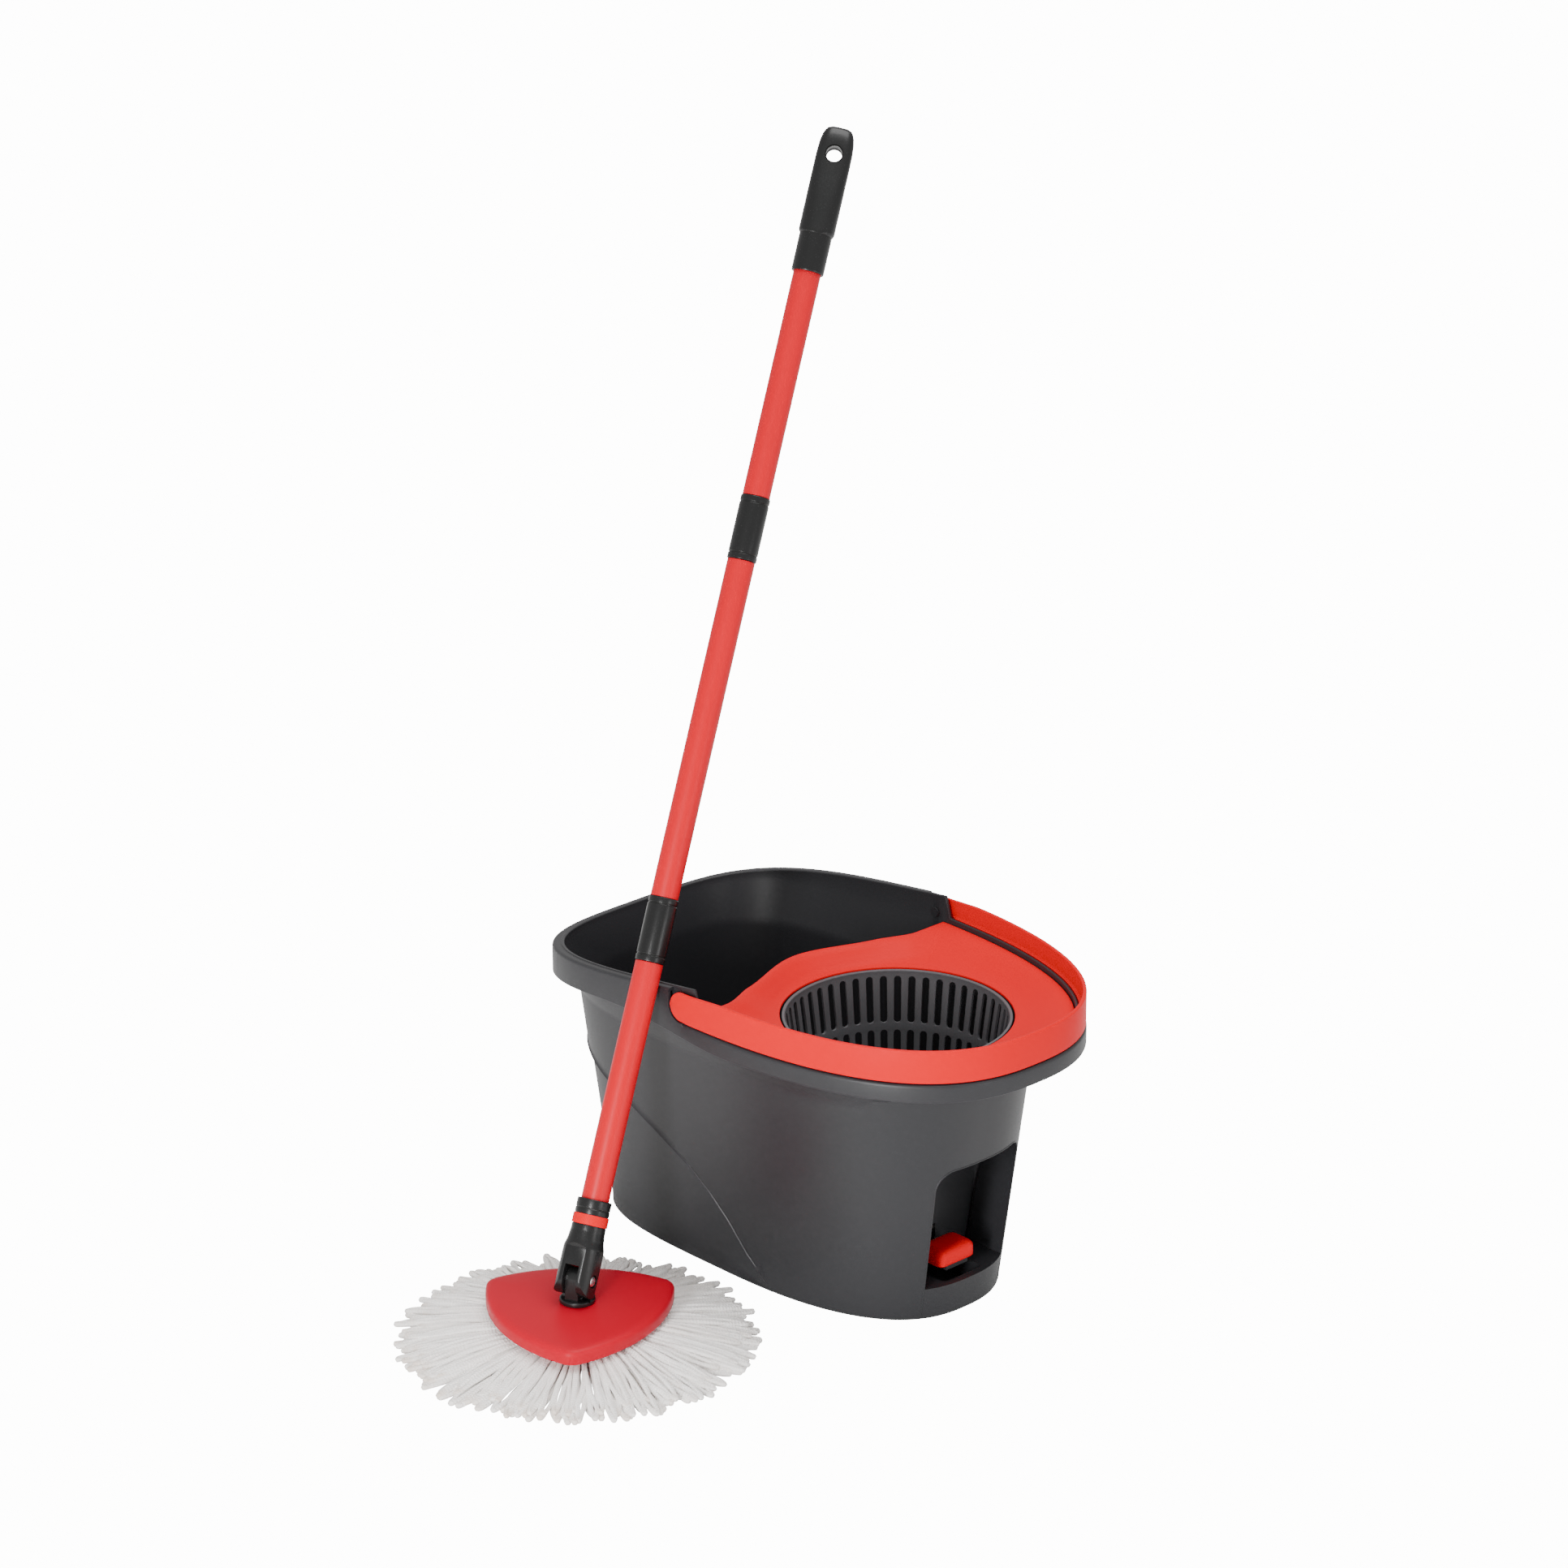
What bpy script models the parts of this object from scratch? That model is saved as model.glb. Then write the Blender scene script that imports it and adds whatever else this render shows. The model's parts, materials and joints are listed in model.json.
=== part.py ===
"""Spin mop: a pedal-driven wringer bucket with a flat-jointed mop leaning on its rim.

Frame: +Z up, floor at z = 0.  +X runs along the bucket towards the wringer and the pedal, and
y = 0 is the bucket's plane of symmetry.  Lengths are metres.
"""

import bisect
import math

import bmesh
import bpy
from mathutils import Euler, Matrix, Vector

MM = 0.001
GAP = 0.3 * MM  # between pieces that touch
RUN = 0.05 * MM  # radial clearance of a running fit
MERGE = 0.02 * MM  # points closer than this become one

# ---- bucket plan: two half superellipses, joined at x = 0 ----
RIM_REAR = 0.197  # inner rim edge, half length towards -X
RIM_FRONT = 0.243  # inner rim edge, half length towards +X
RIM_SIDE = 0.1365  # inner rim edge, half width
POWER_REAR = 3.75  # squareness of the -X half
POWER_FRONT = 2.51  # squareness of the +X half
NECK_REAR = RIM_REAR - 7.0 * MM  # outer wall just under the lip
NECK_FRONT = RIM_FRONT - 43.0 * MM
NECK_SIDE = RIM_SIDE - 12.5 * MM
BASE_REAR = NECK_REAR - 15.5 * MM
BASE_FRONT = NECK_FRONT - 20.6 * MM
BASE_SIDE = NECK_SIDE - 28.2 * MM
NECK_Z = 0.200
WALL = 2.5 * MM
FLOOR = 3.0 * MM
LIP_OUT = 8.5 * MM  # the lip's outer face beyond the inner rim edge
LIP_DROP = 25.0 * MM
RIM_LOW_Z = 0.234  # rim top at the -X end
RIM_SLOPE = 0.134  # rise of the rim towards x = 0
SHOULDER_Z = 0.2325  # the step that the carry handle lies on
STEP_X = -0.009  # where the high rim ends
EAR_END_X = 0.013  # where the handle's pivot ear ends
WRINGER_RIM_Z = 0.2445
PLAN_STEPS = 56

# ---- spin drive ----
SPIN_X = RIM_FRONT - 143.5 * MM  # spin axis, at y = 0
SHAFT_R = 4.0 * MM
MODULE = 1.0 * MM
SHAFT_TEETH = 11
STEP_TEETH = 44
STEP_PINION_TEETH = 10
STEP_ANGLE = math.radians(164.5)  # from the spin axis to the step gear's axis
SECTOR_MODULE = 1.25 * MM
SECTOR_FULL_TEETH = 64
PRESSURE = math.radians(25.0)
BACKLASH = 0.16 * MM
GEAR_FACE = 8.0 * MM
PEDAL_X = SPIN_X + 5.5 * MM  # pedal axle
PEDAL_Z = 0.020
AXLE_R = 2.5 * MM
RACK_H = 9.5 * MM
RACK_D = 10.0 * MM

# ---- housing under the wringer ----
CAVITY_X0 = SPIN_X - 52.5 * MM
CAVITY_X1 = SPIN_X + 28.5 * MM
CAVITY_Y0 = -0.032
CAVITY_Y1 = 0.036
CEILING_Z = 0.086
PILLAR = 7.0 * MM
TOWER_R = 9.5 * MM
TOWER_Z = CEILING_Z + 27.0 * MM
PLATE_UNDER_Z = CEILING_Z - 40.0 * MM  # underside of the gear plate
PLATE_TOP_Z = PLATE_UNDER_Z + 2.5 * MM
WHEEL_Z = CEILING_Z - 13.0 * MM  # underside of the large gear
BUSH_R = 6.0 * MM
RECESS_SIDE = 0.0413  # half width of the pedal recess
RECESS_TOP_Z = 0.1255
RECESS_BACK_X = CAVITY_X1 + WALL
RECESS_BACK_TOP_Z = 0.066
RECESS_MOUTH_X = RECESS_BACK_X + 34.5 * MM  # where the recess reaches its full height
SILL_Z = 0.028  # floor of the recess
WELL_Z = 0.010  # floor of the well that the pedal sinks into
PAD_X0 = SPIN_X + 43.5 * MM
PAD_X1 = SPIN_X + 70.5 * MM
PAD_SIDE = 0.0195
PAD_Z0 = 0.0368
PAD_Z1 = 0.0500

# ---- wringer ----
BASKET_R = 0.0885
HOLE_R = BASKET_R + 3.5 * MM
HOLE_Z = 0.2274
DECK_EDGE_Z = 0.2405
DECK_T = 2.0 * MM
BASKET_TOP_Z = HOLE_Z - 1.2 * MM
BASKET_FOOT_R = BASKET_R - 9.0 * MM  # wall radius at the lowest slots
BASKET_FOOT_Z = 0.150
BASKET_FLOOR_Z = TOWER_Z + 17.0 * MM
BASKET_FLOOR_R = BASKET_R - 32.5 * MM
BASKET_T = 2.2 * MM
SLOTS = 48
SLOT_SHARE = 0.42
SLOT_ROWS = ((0.150, 0.1775), (0.183, 0.2215))
CLUTCH_R = 14.5 * MM
RACE_R = 7.5 * MM
ROLLER_R = 2.0 * MM

# ---- carry handle ----
PIVOT_X = 0.006
PIVOT_Z = 0.246
BAND_OUT = 8.0 * MM  # outer face beyond the inner rim edge
BAND_T = 3.0 * MM
BAND_LOW_Z = 0.2335
BAND_TOP_Z = 0.2605
BAND_END_R = 12.0 * MM
LEDGE_X = 0.024  # the inner ledge starts here
LEDGE_Z = 0.2425
PIN_R = 2.5 * MM

# ---- mop ----
HEAD_X = 0.0124
JOINT_Z = 0.055
LEAN = math.radians(28.75)
LEAN_AZIMUTH = math.radians(109.0)
REFILL_R = 0.143
REFILL_HOLE_R = 0.028
REFILL_Z = 0.022
PLATE_CORNER_R = 0.083
PLATE_ROUND = 0.014
PLATE_Z0 = 0.0223
PLATE_Z1 = 0.0355
PLATE_TURN = math.radians(75.0)
FORK_X = 0.0145
FORK_Y = 0.0135
FORK_SLOT = 6.0 * MM
TUBE_R = 11.0 * MM
HEAD_Y = -RIM_SIDE - LIP_OUT - 102.09 * MM - 1.21 * TUBE_R  # the lowest tube clears the lip
TUBE_T = 1.2 * MM
SOCKET_R = TUBE_R + 2.5 * MM
SOCKET_END = 0.062
BARREL_R = TUBE_R + 0.75 * MM
LOWER_BARREL = (0.251, 0.302)
UPPER_BARREL = (0.573, 0.624)
GRIP_START = 0.806
GRIP_STEP = 0.837
GRIP_END = 0.924
GRIP_R = TUBE_R + 3.35 * MM
GRIP_HOLE = 0.908
GRIP_TURN = math.radians(24.0)


# ---------------------------------------------------------------- helpers

def clear_scene():
    """Empty the file, so that only the model is in it."""
    for old in list(bpy.data.objects):
        bpy.data.objects.remove(old, do_unlink=True)


def material(name, colour, roughness, metallic=0.0):
    """A Principled material; pieces that share one get the same datablock."""
    found = bpy.data.materials.get(name)
    if found:
        return found
    made = bpy.data.materials.new(name)
    made.use_nodes = True
    shader = made.node_tree.nodes["Principled BSDF"]
    shader.inputs["Base Color"].default_value = (*colour, 1.0)
    shader.inputs["Roughness"].default_value = roughness
    shader.inputs["Metallic"].default_value = metallic
    made.diffuse_color = (*colour, 1.0)
    return made


def charcoal():
    return material("charcoal_plastic", (0.055, 0.055, 0.060), 0.45)


def black():
    return material("black_plastic", (0.018, 0.018, 0.020), 0.40)


def red():
    return material("red_plastic", (0.78, 0.03, 0.025), 0.30)


def deep_red():
    return material("deep_red_plastic", (0.60, 0.015, 0.025), 0.35)


def red_paint():
    return material("red_painted_steel", (0.75, 0.03, 0.03), 0.22, 0.2)


def grey():
    return material("grey_plastic", (0.20, 0.20, 0.21), 0.45)


def acetal():
    return material("white_acetal", (0.80, 0.79, 0.75), 0.40)


def steel():
    return material("bright_steel", (0.62, 0.62, 0.63), 0.25, 1.0)


def brass():
    return material("sintered_bronze", (0.55, 0.38, 0.18), 0.40, 1.0)


def rubber():
    return material("seal_rubber", (0.03, 0.03, 0.03), 0.70)


def yarn():
    return material("microfibre_yarn", (0.80, 0.76, 0.72), 0.95)


def link(name, bm, mat, parent=None, smooth=True):
    """Make a bmesh into a named object, sharp edges kept above 40 degrees."""
    bmesh.ops.recalc_face_normals(bm, faces=bm.faces)
    mesh = bpy.data.meshes.new(name)
    bm.to_mesh(mesh)
    bm.free()
    if smooth:
        mesh.shade_smooth()
        mesh.set_sharp_from_angle(angle=math.radians(40))
    if mat:
        mesh.materials.append(mat)
    obj = bpy.data.objects.new(name, mesh)
    bpy.context.scene.collection.objects.link(obj)
    if parent:
        obj.parent = parent
    return obj


def empty(name, location, rotation=(0.0, 0.0, 0.0)):
    """A parent that marks a joint's place and direction."""
    obj = bpy.data.objects.new(name, None)
    obj.location = location
    obj.rotation_euler = rotation
    bpy.context.scene.collection.objects.link(obj)
    return obj


def tunnel(rings, ends="caps"):
    """Join rings of points; ends are capped with a face, or joined to each other ("loop")."""
    bm = bmesh.new()
    rows = [[bm.verts.new(p) for p in ring] for ring in rings]
    count = len(rows[0])
    pairs = list(zip(rows, rows[1:]))
    if ends == "loop":
        pairs.append((rows[-1], rows[0]))
    for low, high in pairs:
        for i in range(count):
            j = (i + 1) % count
            bm.faces.new((low[i], low[j], high[j], high[i]))
    if ends == "caps":
        bm.faces.new(rows[0][::-1])
        bm.faces.new(rows[-1])
    return bm


def turned(profile, steps=24, centre=(0.0, 0.0), axis="Z"):
    """Spin a closed (radius, height) outline about an axis; a radius of 0 makes a pole."""
    bm = bmesh.new()
    rows = []
    for radius, height in profile:
        if radius <= 0.0:
            rows.append([bm.verts.new((0.0, 0.0, height))])
            continue
        ring = []
        for i in range(steps):
            turn = 2 * math.pi * i / steps
            ring.append(bm.verts.new((radius * math.cos(turn), radius * math.sin(turn), height)))
        rows.append(ring)
    for low, high in zip(rows, rows[1:] + rows[:1]):
        if len(low) == 1 and len(high) == 1:
            continue
        for i in range(steps):
            j = (i + 1) % steps
            if len(low) == 1:
                bm.faces.new((low[0], high[j], high[i]))
            elif len(high) == 1:
                bm.faces.new((low[i], low[j], high[0]))
            else:
                bm.faces.new((low[i], low[j], high[j], high[i]))
    if axis == "Y":
        bm.transform(Matrix.Rotation(math.radians(-90), 4, "X"))
    if axis == "X":
        bm.transform(Matrix.Rotation(math.radians(90), 4, "Y"))
    bm.transform(Matrix.Translation((centre[0], centre[1], centre[2] if len(centre) > 2 else 0.0)))
    return bm


def rod(radius, low, high, steps=20, centre=(0.0, 0.0), axis="Z"):
    return turned([(0.0, low), (radius, low), (radius, high), (0.0, high)], steps, centre, axis)


def pipe(outer, inner, low, high, steps=24, centre=(0.0, 0.0), axis="Z"):
    return turned([(inner, low), (outer, low), (outer, high), (inner, high)], steps, centre, axis)


def block(low, high):
    """A box between two corners."""
    bm = bmesh.new()
    bmesh.ops.create_cube(bm, size=1.0)
    size = Vector(high) - Vector(low)
    middle = (Vector(high) + Vector(low)) / 2
    bm.transform(Matrix.Translation(middle) @ Matrix.Diagonal((*size, 1.0)))
    return bm


def prism(outline, low, high, axis="Z"):
    """Extrude an outline of (a, b) points along an axis: XY for Z, XZ for Y, YZ for X."""
    place = {
        "Z": lambda a, b, h: (a, b, h),
        "Y": lambda a, b, h: (a, h, b),
        "X": lambda a, b, h: (h, a, b),
    }[axis]
    return tunnel([[place(a, b, h) for a, b in outline] for h in (low, high)])


def tidy(mesh):
    """Merge the hair-thin edges that a Boolean leaves where its surfaces nearly meet."""
    bm = bmesh.new()
    bm.from_mesh(mesh)
    bmesh.ops.remove_doubles(bm, verts=bm.verts, dist=MERGE)
    bm.to_mesh(mesh)
    bm.free()


def cut(target, shapes, operation="DIFFERENCE"):
    """Apply one exact Boolean for each shape (a bmesh), then drop the cutters."""
    for shape in shapes:
        tool = link("cutter", shape, None, smooth=False)
        tool.hide_render = True
        tool.display_type = "WIRE"
        step = target.modifiers.new("cut", "BOOLEAN")
        step.operation = operation
        step.solver = "EXACT"
        step.object = tool
        graph = bpy.context.evaluated_depsgraph_get()
        baked = bpy.data.meshes.new_from_object(target.evaluated_get(graph))
        tidy(baked)
        target.modifiers.clear()
        old = target.data
        target.data = baked
        bpy.data.meshes.remove(old)
        bpy.data.objects.remove(tool, do_unlink=True)
    return target


def combined(first, operation, *others):
    """Boolean one bmesh with others and give back the result as a bmesh."""
    work = link("work", first, None, smooth=False)
    cut(work, list(others), operation)
    result = bmesh.new()
    result.from_mesh(work.data)
    bpy.data.objects.remove(work, do_unlink=True)
    return result


def joined(shapes):
    """Several separate bmeshes as one."""
    result = bmesh.new()
    for shape in shapes:
        bmesh.ops.recalc_face_normals(shape, faces=shape.faces)
        mesh = bpy.data.meshes.new("piece")
        shape.to_mesh(mesh)
        shape.free()
        result.from_mesh(mesh)
        bpy.data.meshes.remove(mesh)
    return result


def involute(angle):
    return math.tan(angle) - angle


def gear_outline(teeth, module, phase, first=0, last=None):
    """Points of external involute teeth, three on each flank, one tooth centred on phase."""
    pitch = teeth * module / 2
    base = pitch * math.cos(PRESSURE)
    root = pitch - 1.05 * module
    tip = pitch + 0.8 * module
    half = math.pi / (2 * teeth) - BACKLASH / (2 * pitch)

    def spread(radius):
        inside = min(1.0, base / max(radius, base))
        return half + involute(PRESSURE) - involute(math.acos(inside))

    points = []
    last = teeth if last is None else last
    for k in range(first, last):
        centre = phase + 2 * math.pi * k / teeth
        flank = [(root, spread(root)), (pitch, spread(pitch)), (tip, spread(tip))]
        for radius, turn in flank:
            points.append((radius * math.cos(centre - turn), radius * math.sin(centre - turn)))
        for radius, turn in reversed(flank):
            points.append((radius * math.cos(centre + turn), radius * math.sin(centre + turn)))
    return points


def rack_teeth(first_x, count, module, line, side):
    """Trapezoid rack teeth along X; side is +1 where they point to higher values, else -1."""
    pitch = math.pi * module
    points = []
    for k in range(count):
        centre = first_x + k * pitch
        for reach, sign in ((-1.05, -1), (0.8, -1), (0.8, 1), (-1.05, 1)):
            width = pitch / 4 - BACKLASH / 2 - reach * module * math.tan(PRESSURE)
            points.append((centre + sign * width, line + side * reach * module))
    return points


# ---------------------------------------------------------------- plan curves

def plan_radius(turn, rear, front, side):
    """Distance from the origin to the bucket's plan curve in a direction."""
    c = abs(math.cos(turn))
    s = abs(math.sin(turn))
    ahead = math.cos(turn) > 0
    length = front if ahead else rear
    power = POWER_FRONT if ahead else POWER_REAR
    return ((c / length) ** power + (s / side) ** power) ** (-1.0 / power)


def rim_radius(turn, out=0.0):
    return plan_radius(turn, RIM_REAR + out, RIM_FRONT + out, RIM_SIDE + out)


def wall_radius(turn, height, out=0.0):
    """The outer wall between the base and the neck."""
    share = height / NECK_Z
    return plan_radius(
        turn,
        BASE_REAR + (NECK_REAR - BASE_REAR) * share + out,
        BASE_FRONT + (NECK_FRONT - BASE_FRONT) * share + out,
        BASE_SIDE + (NECK_SIDE - BASE_SIDE) * share + out,
    )


def rim_turn(x, side, out=0.0):
    """The direction in which the rim curve has this x, on the side of y's sign."""
    low = 0.0
    high = math.pi
    for _ in range(50):
        middle = (low + high) / 2
        if rim_radius(middle, out) * math.cos(middle) > x:
            low = middle
        else:
            high = middle
    return side * low


def around(radius, turn, z):
    return (radius * math.cos(turn), radius * math.sin(turn), z)


def plan_turns():
    """Directions around the bucket, with pairs at the steps of the rim."""
    turns = [2 * math.pi * i / PLAN_STEPS - math.pi for i in range(PLAN_STEPS)]
    marks = []
    for side in (-1, 1):
        for x in (STEP_X - 0.003, STEP_X, EAR_END_X, EAR_END_X + 0.005):
            marks.append(rim_turn(x, side))
    near = math.radians(1.2)
    turns = [t for t in turns if all(abs(t - m) > near for m in marks)]
    return sorted(turns + marks)


# ---------------------------------------------------------------- bucket

def rim_section(turn):
    """The lip and rim at one direction, from under the lip over the top to the inner wall."""
    inner = rim_radius(turn)
    x = inner * math.cos(turn)
    high = RIM_LOW_Z + RIM_SLOPE * (x + RIM_REAR)
    rear = x < STEP_X - 0.001
    top = high if x < EAR_END_X + 0.001 else WRINGER_RIM_Z
    shoulder = high - 1.0 * MM if rear else SHOULDER_Z
    outer = rim_radius(turn, LIP_OUT)
    skirt_in = rim_radius(turn, LIP_OUT - WALL)
    low = (high if rear else SHOULDER_Z) - LIP_DROP
    under = shoulder - WALL
    bend = 4.0 * MM if rear else 0.8 * MM
    drop = 18.0 * MM if rear else WRINGER_RIM_Z - DECK_EDGE_Z + DECK_T + GAP
    return [
        around(rim_radius(turn, WALL), turn, under),
        around(skirt_in, turn, under),
        around(skirt_in, turn, low),
        around(outer, turn, low),
        around(outer, turn, shoulder - bend),
        around(rim_radius(turn, LIP_OUT - bend * 0.6), turn, shoulder),
        around(rim_radius(turn, WALL), turn, shoulder + 0.2 * MM),
        around(rim_radius(turn, WALL * 0.9), turn, top),
        around(inner, turn, top - 0.3 * MM),
        around(inner, turn, (top if rear else WRINGER_RIM_Z) - drop),
    ]


def recess_outline(side, top, low, corner):
    """An arch in (y, z): flat sill, upright sides and rounded top corners."""
    points = [(-side, low), (side, low)]
    for sign in (1, -1):
        for i in range(6):
            turn = math.radians(18 * i)
            if sign < 0:
                turn = math.pi / 2 - turn
            y = sign * (side - corner + corner * math.cos(turn))
            points.append((y, top - corner + corner * math.sin(turn)))
    return points


def recess_form(grow, sill, reach):
    """The scooped space of the pedal recess, grown outwards by a wall for its housing."""
    rings = []
    for i in range(6):
        share = i / 5
        x = RECESS_BACK_X + (RECESS_MOUTH_X - RECESS_BACK_X) * (1 - math.cos(share * math.pi / 2))
        top = RECESS_BACK_TOP_Z + (RECESS_TOP_Z - RECESS_BACK_TOP_Z) * math.sin(share * math.pi / 2)
        corner = 0.012 + 0.016 * share
        outline = recess_outline(RECESS_SIDE + grow, top + grow, sill, corner + grow)
        rings.append([(x - grow, y, z) for y, z in outline])
    rings.append([(reach, y, z) for _, y, z in rings[-1]])
    return tunnel(rings)


def hull(out, low, high):
    """The bucket's outer wall as a solid, moved in or out."""
    turns = plan_turns()
    return tunnel([[around(wall_radius(t, z, out), t, z) for t in turns] for z in (low, high)])


def cover_screw_places():
    half = PILLAR / 2
    return [
        (x, y)
        for x in (CAVITY_X0 + half, CAVITY_X1 - half)
        for y in (CAVITY_Y0 + half, CAVITY_Y1 - half)
    ]


def plate_screw_places():
    """Bosses that hang from the ceiling, clear of the gears and the rack."""
    return [(CAVITY_X0 + 5.5 * MM, CAVITY_Y0 + 11.5 * MM), (SPIN_X + 12.5 * MM, CAVITY_Y0 + 13.5 * MM)]


def cavity_shapes():
    """The space of the drive, with pillars left in its corners."""
    wide = block((CAVITY_X0, CAVITY_Y0 + PILLAR, -0.01), (CAVITY_X1, CAVITY_Y1 - PILLAR, CEILING_Z))
    long = block((CAVITY_X0 + PILLAR, CAVITY_Y0, -0.01), (CAVITY_X1 - PILLAR, CAVITY_Y1, CEILING_Z))
    mouth = block((CAVITY_X0, CAVITY_Y0, -0.01), (CAVITY_X1, CAVITY_Y1, 0.0045))
    return [wide, long, mouth]


def bucket_shell():
    turns = plan_turns()
    rings = []
    for z, out in ((0.0, -2.5 * MM), (2.5 * MM, 0.0), (0.1, 0.0), (NECK_Z, 0.0)):
        rings.append([around(wall_radius(t, z, out), t, z) for t in turns])
    sections = [rim_section(t) for t in turns]
    for k in range(len(sections[0])):
        rings.append([section[k] for section in sections])
    for z in (NECK_Z + 2.0 * MM, 0.1, FLOOR + 4.0 * MM):
        rings.append([around(wall_radius(t, z, -WALL), t, z) for t in turns])
    rings.append([around(wall_radius(t, FLOOR, -WALL - 4.0 * MM), t, FLOOR) for t in turns])
    shell = link("bucket_shell", tunnel(rings), charcoal())

    pin_holes = []
    for side in (-1, 1):
        inside, outside = sorted((side * (RIM_SIDE - 0.006), side * (RIM_SIDE + 0.0045)))
        pin_holes.append(rod(PIN_R + GAP, inside, outside, 16, (PIVOT_X, 0.0, PIVOT_Z), "Y"))
    cut(shell, [joined(pin_holes)])

    at = (SPIN_X, 0.0)
    seat = combined(rod(BUSH_R + GAP, CEILING_Z - 6.0 * MM, TOWER_Z - 2.5 * MM, 24, at), "UNION",
                    rod(SHAFT_R + 0.7 * MM, TOWER_Z - 8.0 * MM, TOWER_Z + 7.0 * MM, 24, at))
    housing = combined(block((CAVITY_X0 - WALL, CAVITY_Y0 - WALL, 1.0 * MM),
                             (PAD_X0 + 7.0 * MM, CAVITY_Y1 + WALL, CEILING_Z + WALL)), "UNION",
                       rod(TOWER_R, CEILING_Z, TOWER_Z, 24, at),
                       recess_form(WALL, 1.0 * MM, RIM_FRONT))
    housing = combined(housing, "INTERSECT", hull(-0.8 * MM, 0.5 * MM, NECK_Z - 0.01))
    cut(shell, [combined(housing, "DIFFERENCE", seat)], "UNION")

    drills = [rod(1.3 * MM, -0.005, 0.016, 8, place) for place in cover_screw_places()]
    cavity = combined(cavity_shapes()[0], "UNION", *cavity_shapes()[1:], *drills)
    bosses = [pipe(3.2 * MM, 1.3 * MM, PLATE_TOP_Z + GAP, CEILING_Z + 1.0 * MM, 12, p)
              for p in plate_screw_places()]
    cut(shell, [combined(cavity, "DIFFERENCE", *bosses), joined(under_sill())])
    slot_side = PAD_SIDE - 6.0 * MM
    lever_slot = block((CAVITY_X1 - 8.0 * MM, -slot_side, WELL_Z + 0.5 * MM),
                       (PAD_X0 - 3.0 * MM, slot_side, SILL_Z + 24.0 * MM))
    well = prism(rounded_box(PAD_X0 - 13.5 * MM, PAD_X1 + 5.5 * MM, PAD_SIDE + 1.5 * MM, 6.0 * MM),
                 WELL_Z, SILL_Z + 12.0 * MM)
    lever_slot = combined(lever_slot, "UNION", well)
    opening = combined(recess_form(0.0, SILL_Z, RIM_FRONT + 0.01), "UNION", lever_slot)
    cut(shell, [opening])
    return shell


def under_sill():
    """Two pockets, open below, that keep the sill beside the well an even thickness."""
    pockets = []
    for side in (-1, 1):
        low, high = sorted((side * (PAD_SIDE + 4.0 * MM), side * RECESS_SIDE))
        pockets.append(block((CAVITY_X1 + 4.0 * MM, low, -0.01), (PAD_X1 - 12.0 * MM, high, SILL_Z - WALL)))
    return pockets


def rounded_box(x0, x1, side, corner, steps=4):
    """A rounded rectangle between two x values, even about y = 0."""
    points = []
    for x, y, start in ((x1, side, 0), (x0, side, 90), (x0, -side, 180), (x1, -side, 270)):
        cx = x + (corner if x == x0 else -corner)
        cy = y + (-corner if y > 0 else corner)
        for i in range(steps):
            turn = math.radians(start + 90 * i / (steps - 1))
            points.append((cx + corner * math.cos(turn), cy + corner * math.sin(turn)))
    return points


# ---------------------------------------------------------------- wringer

def deck_left_edge(y):
    """The deck's free edge over the tank: it swells round the hole and draws back to the sides."""
    share = min(1.0, max(0.0, (abs(y) - 0.025) / 0.060))
    swell = SPIN_X - HOLE_R - 23.5 * MM
    return swell + (3.0 * MM - swell) * share * share * (3 - 2 * share)


def rim_chord(turn, turns, out):
    """Distance from the origin to the straight-sided rim, between two of its corners."""
    k = max(1, min(len(turns) - 1, bisect.bisect(turns, turn)))
    first = Vector(around(rim_radius(turns[k - 1], out), turns[k - 1], 0.0))
    second = Vector(around(rim_radius(turns[k], out), turns[k], 0.0))
    ahead = Vector(around(1.0, turn, 0.0))
    return first.cross(second).z / ahead.cross(second - first).z


def deck_reach(turn, rim_turns):
    """Distance from the spin axis to the deck's outline."""
    low = HOLE_R
    high = RIM_FRONT + RIM_REAR
    for _ in range(40):
        middle = (low + high) / 2
        x = SPIN_X + middle * math.cos(turn)
        y = middle * math.sin(turn)
        own = math.hypot(x, y)
        inside = own < rim_chord(math.atan2(y, x), rim_turns, -0.6 * MM) and x > deck_left_edge(y)
        low, high = (middle, high) if inside else (low, middle)
    return low


def wringer_deck():
    corner = math.atan2(RIM_SIDE - 0.6 * MM, deck_left_edge(RIM_SIDE) - SPIN_X)
    turns = [2 * math.pi * i / 60 for i in range(60)]
    turns = [t for t in turns if abs(t - corner) > 0.03 and abs(t - 2 * math.pi + corner) > 0.03]
    turns = sorted(turns + [corner, 2 * math.pi - corner])
    rim_turns = plan_turns()
    edges = [deck_reach(t, rim_turns) for t in turns]
    rows = []
    for share, top in ((0.0, 0), (0.0, 1), (0.35, 1), (1.0, 1), (1.0, 0), (0.35, 0)):
        ring = []
        for t, edge in zip(turns, edges):
            radius = HOLE_R + (edge - HOLE_R) * share
            rise = (DECK_EDGE_Z - HOLE_Z) * math.sin(share * math.pi / 2)
            if 0.0 < share < 1.0:
                rise = (DECK_EDGE_Z - HOLE_Z) * 0.30
            z = HOLE_Z + rise
            if not top:
                z -= DECK_T
            ring.append((SPIN_X + radius * math.cos(t), radius * math.sin(t), z))
        rows.append(ring)
    return link("wringer_deck", tunnel(rows, "loop"), red())


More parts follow.
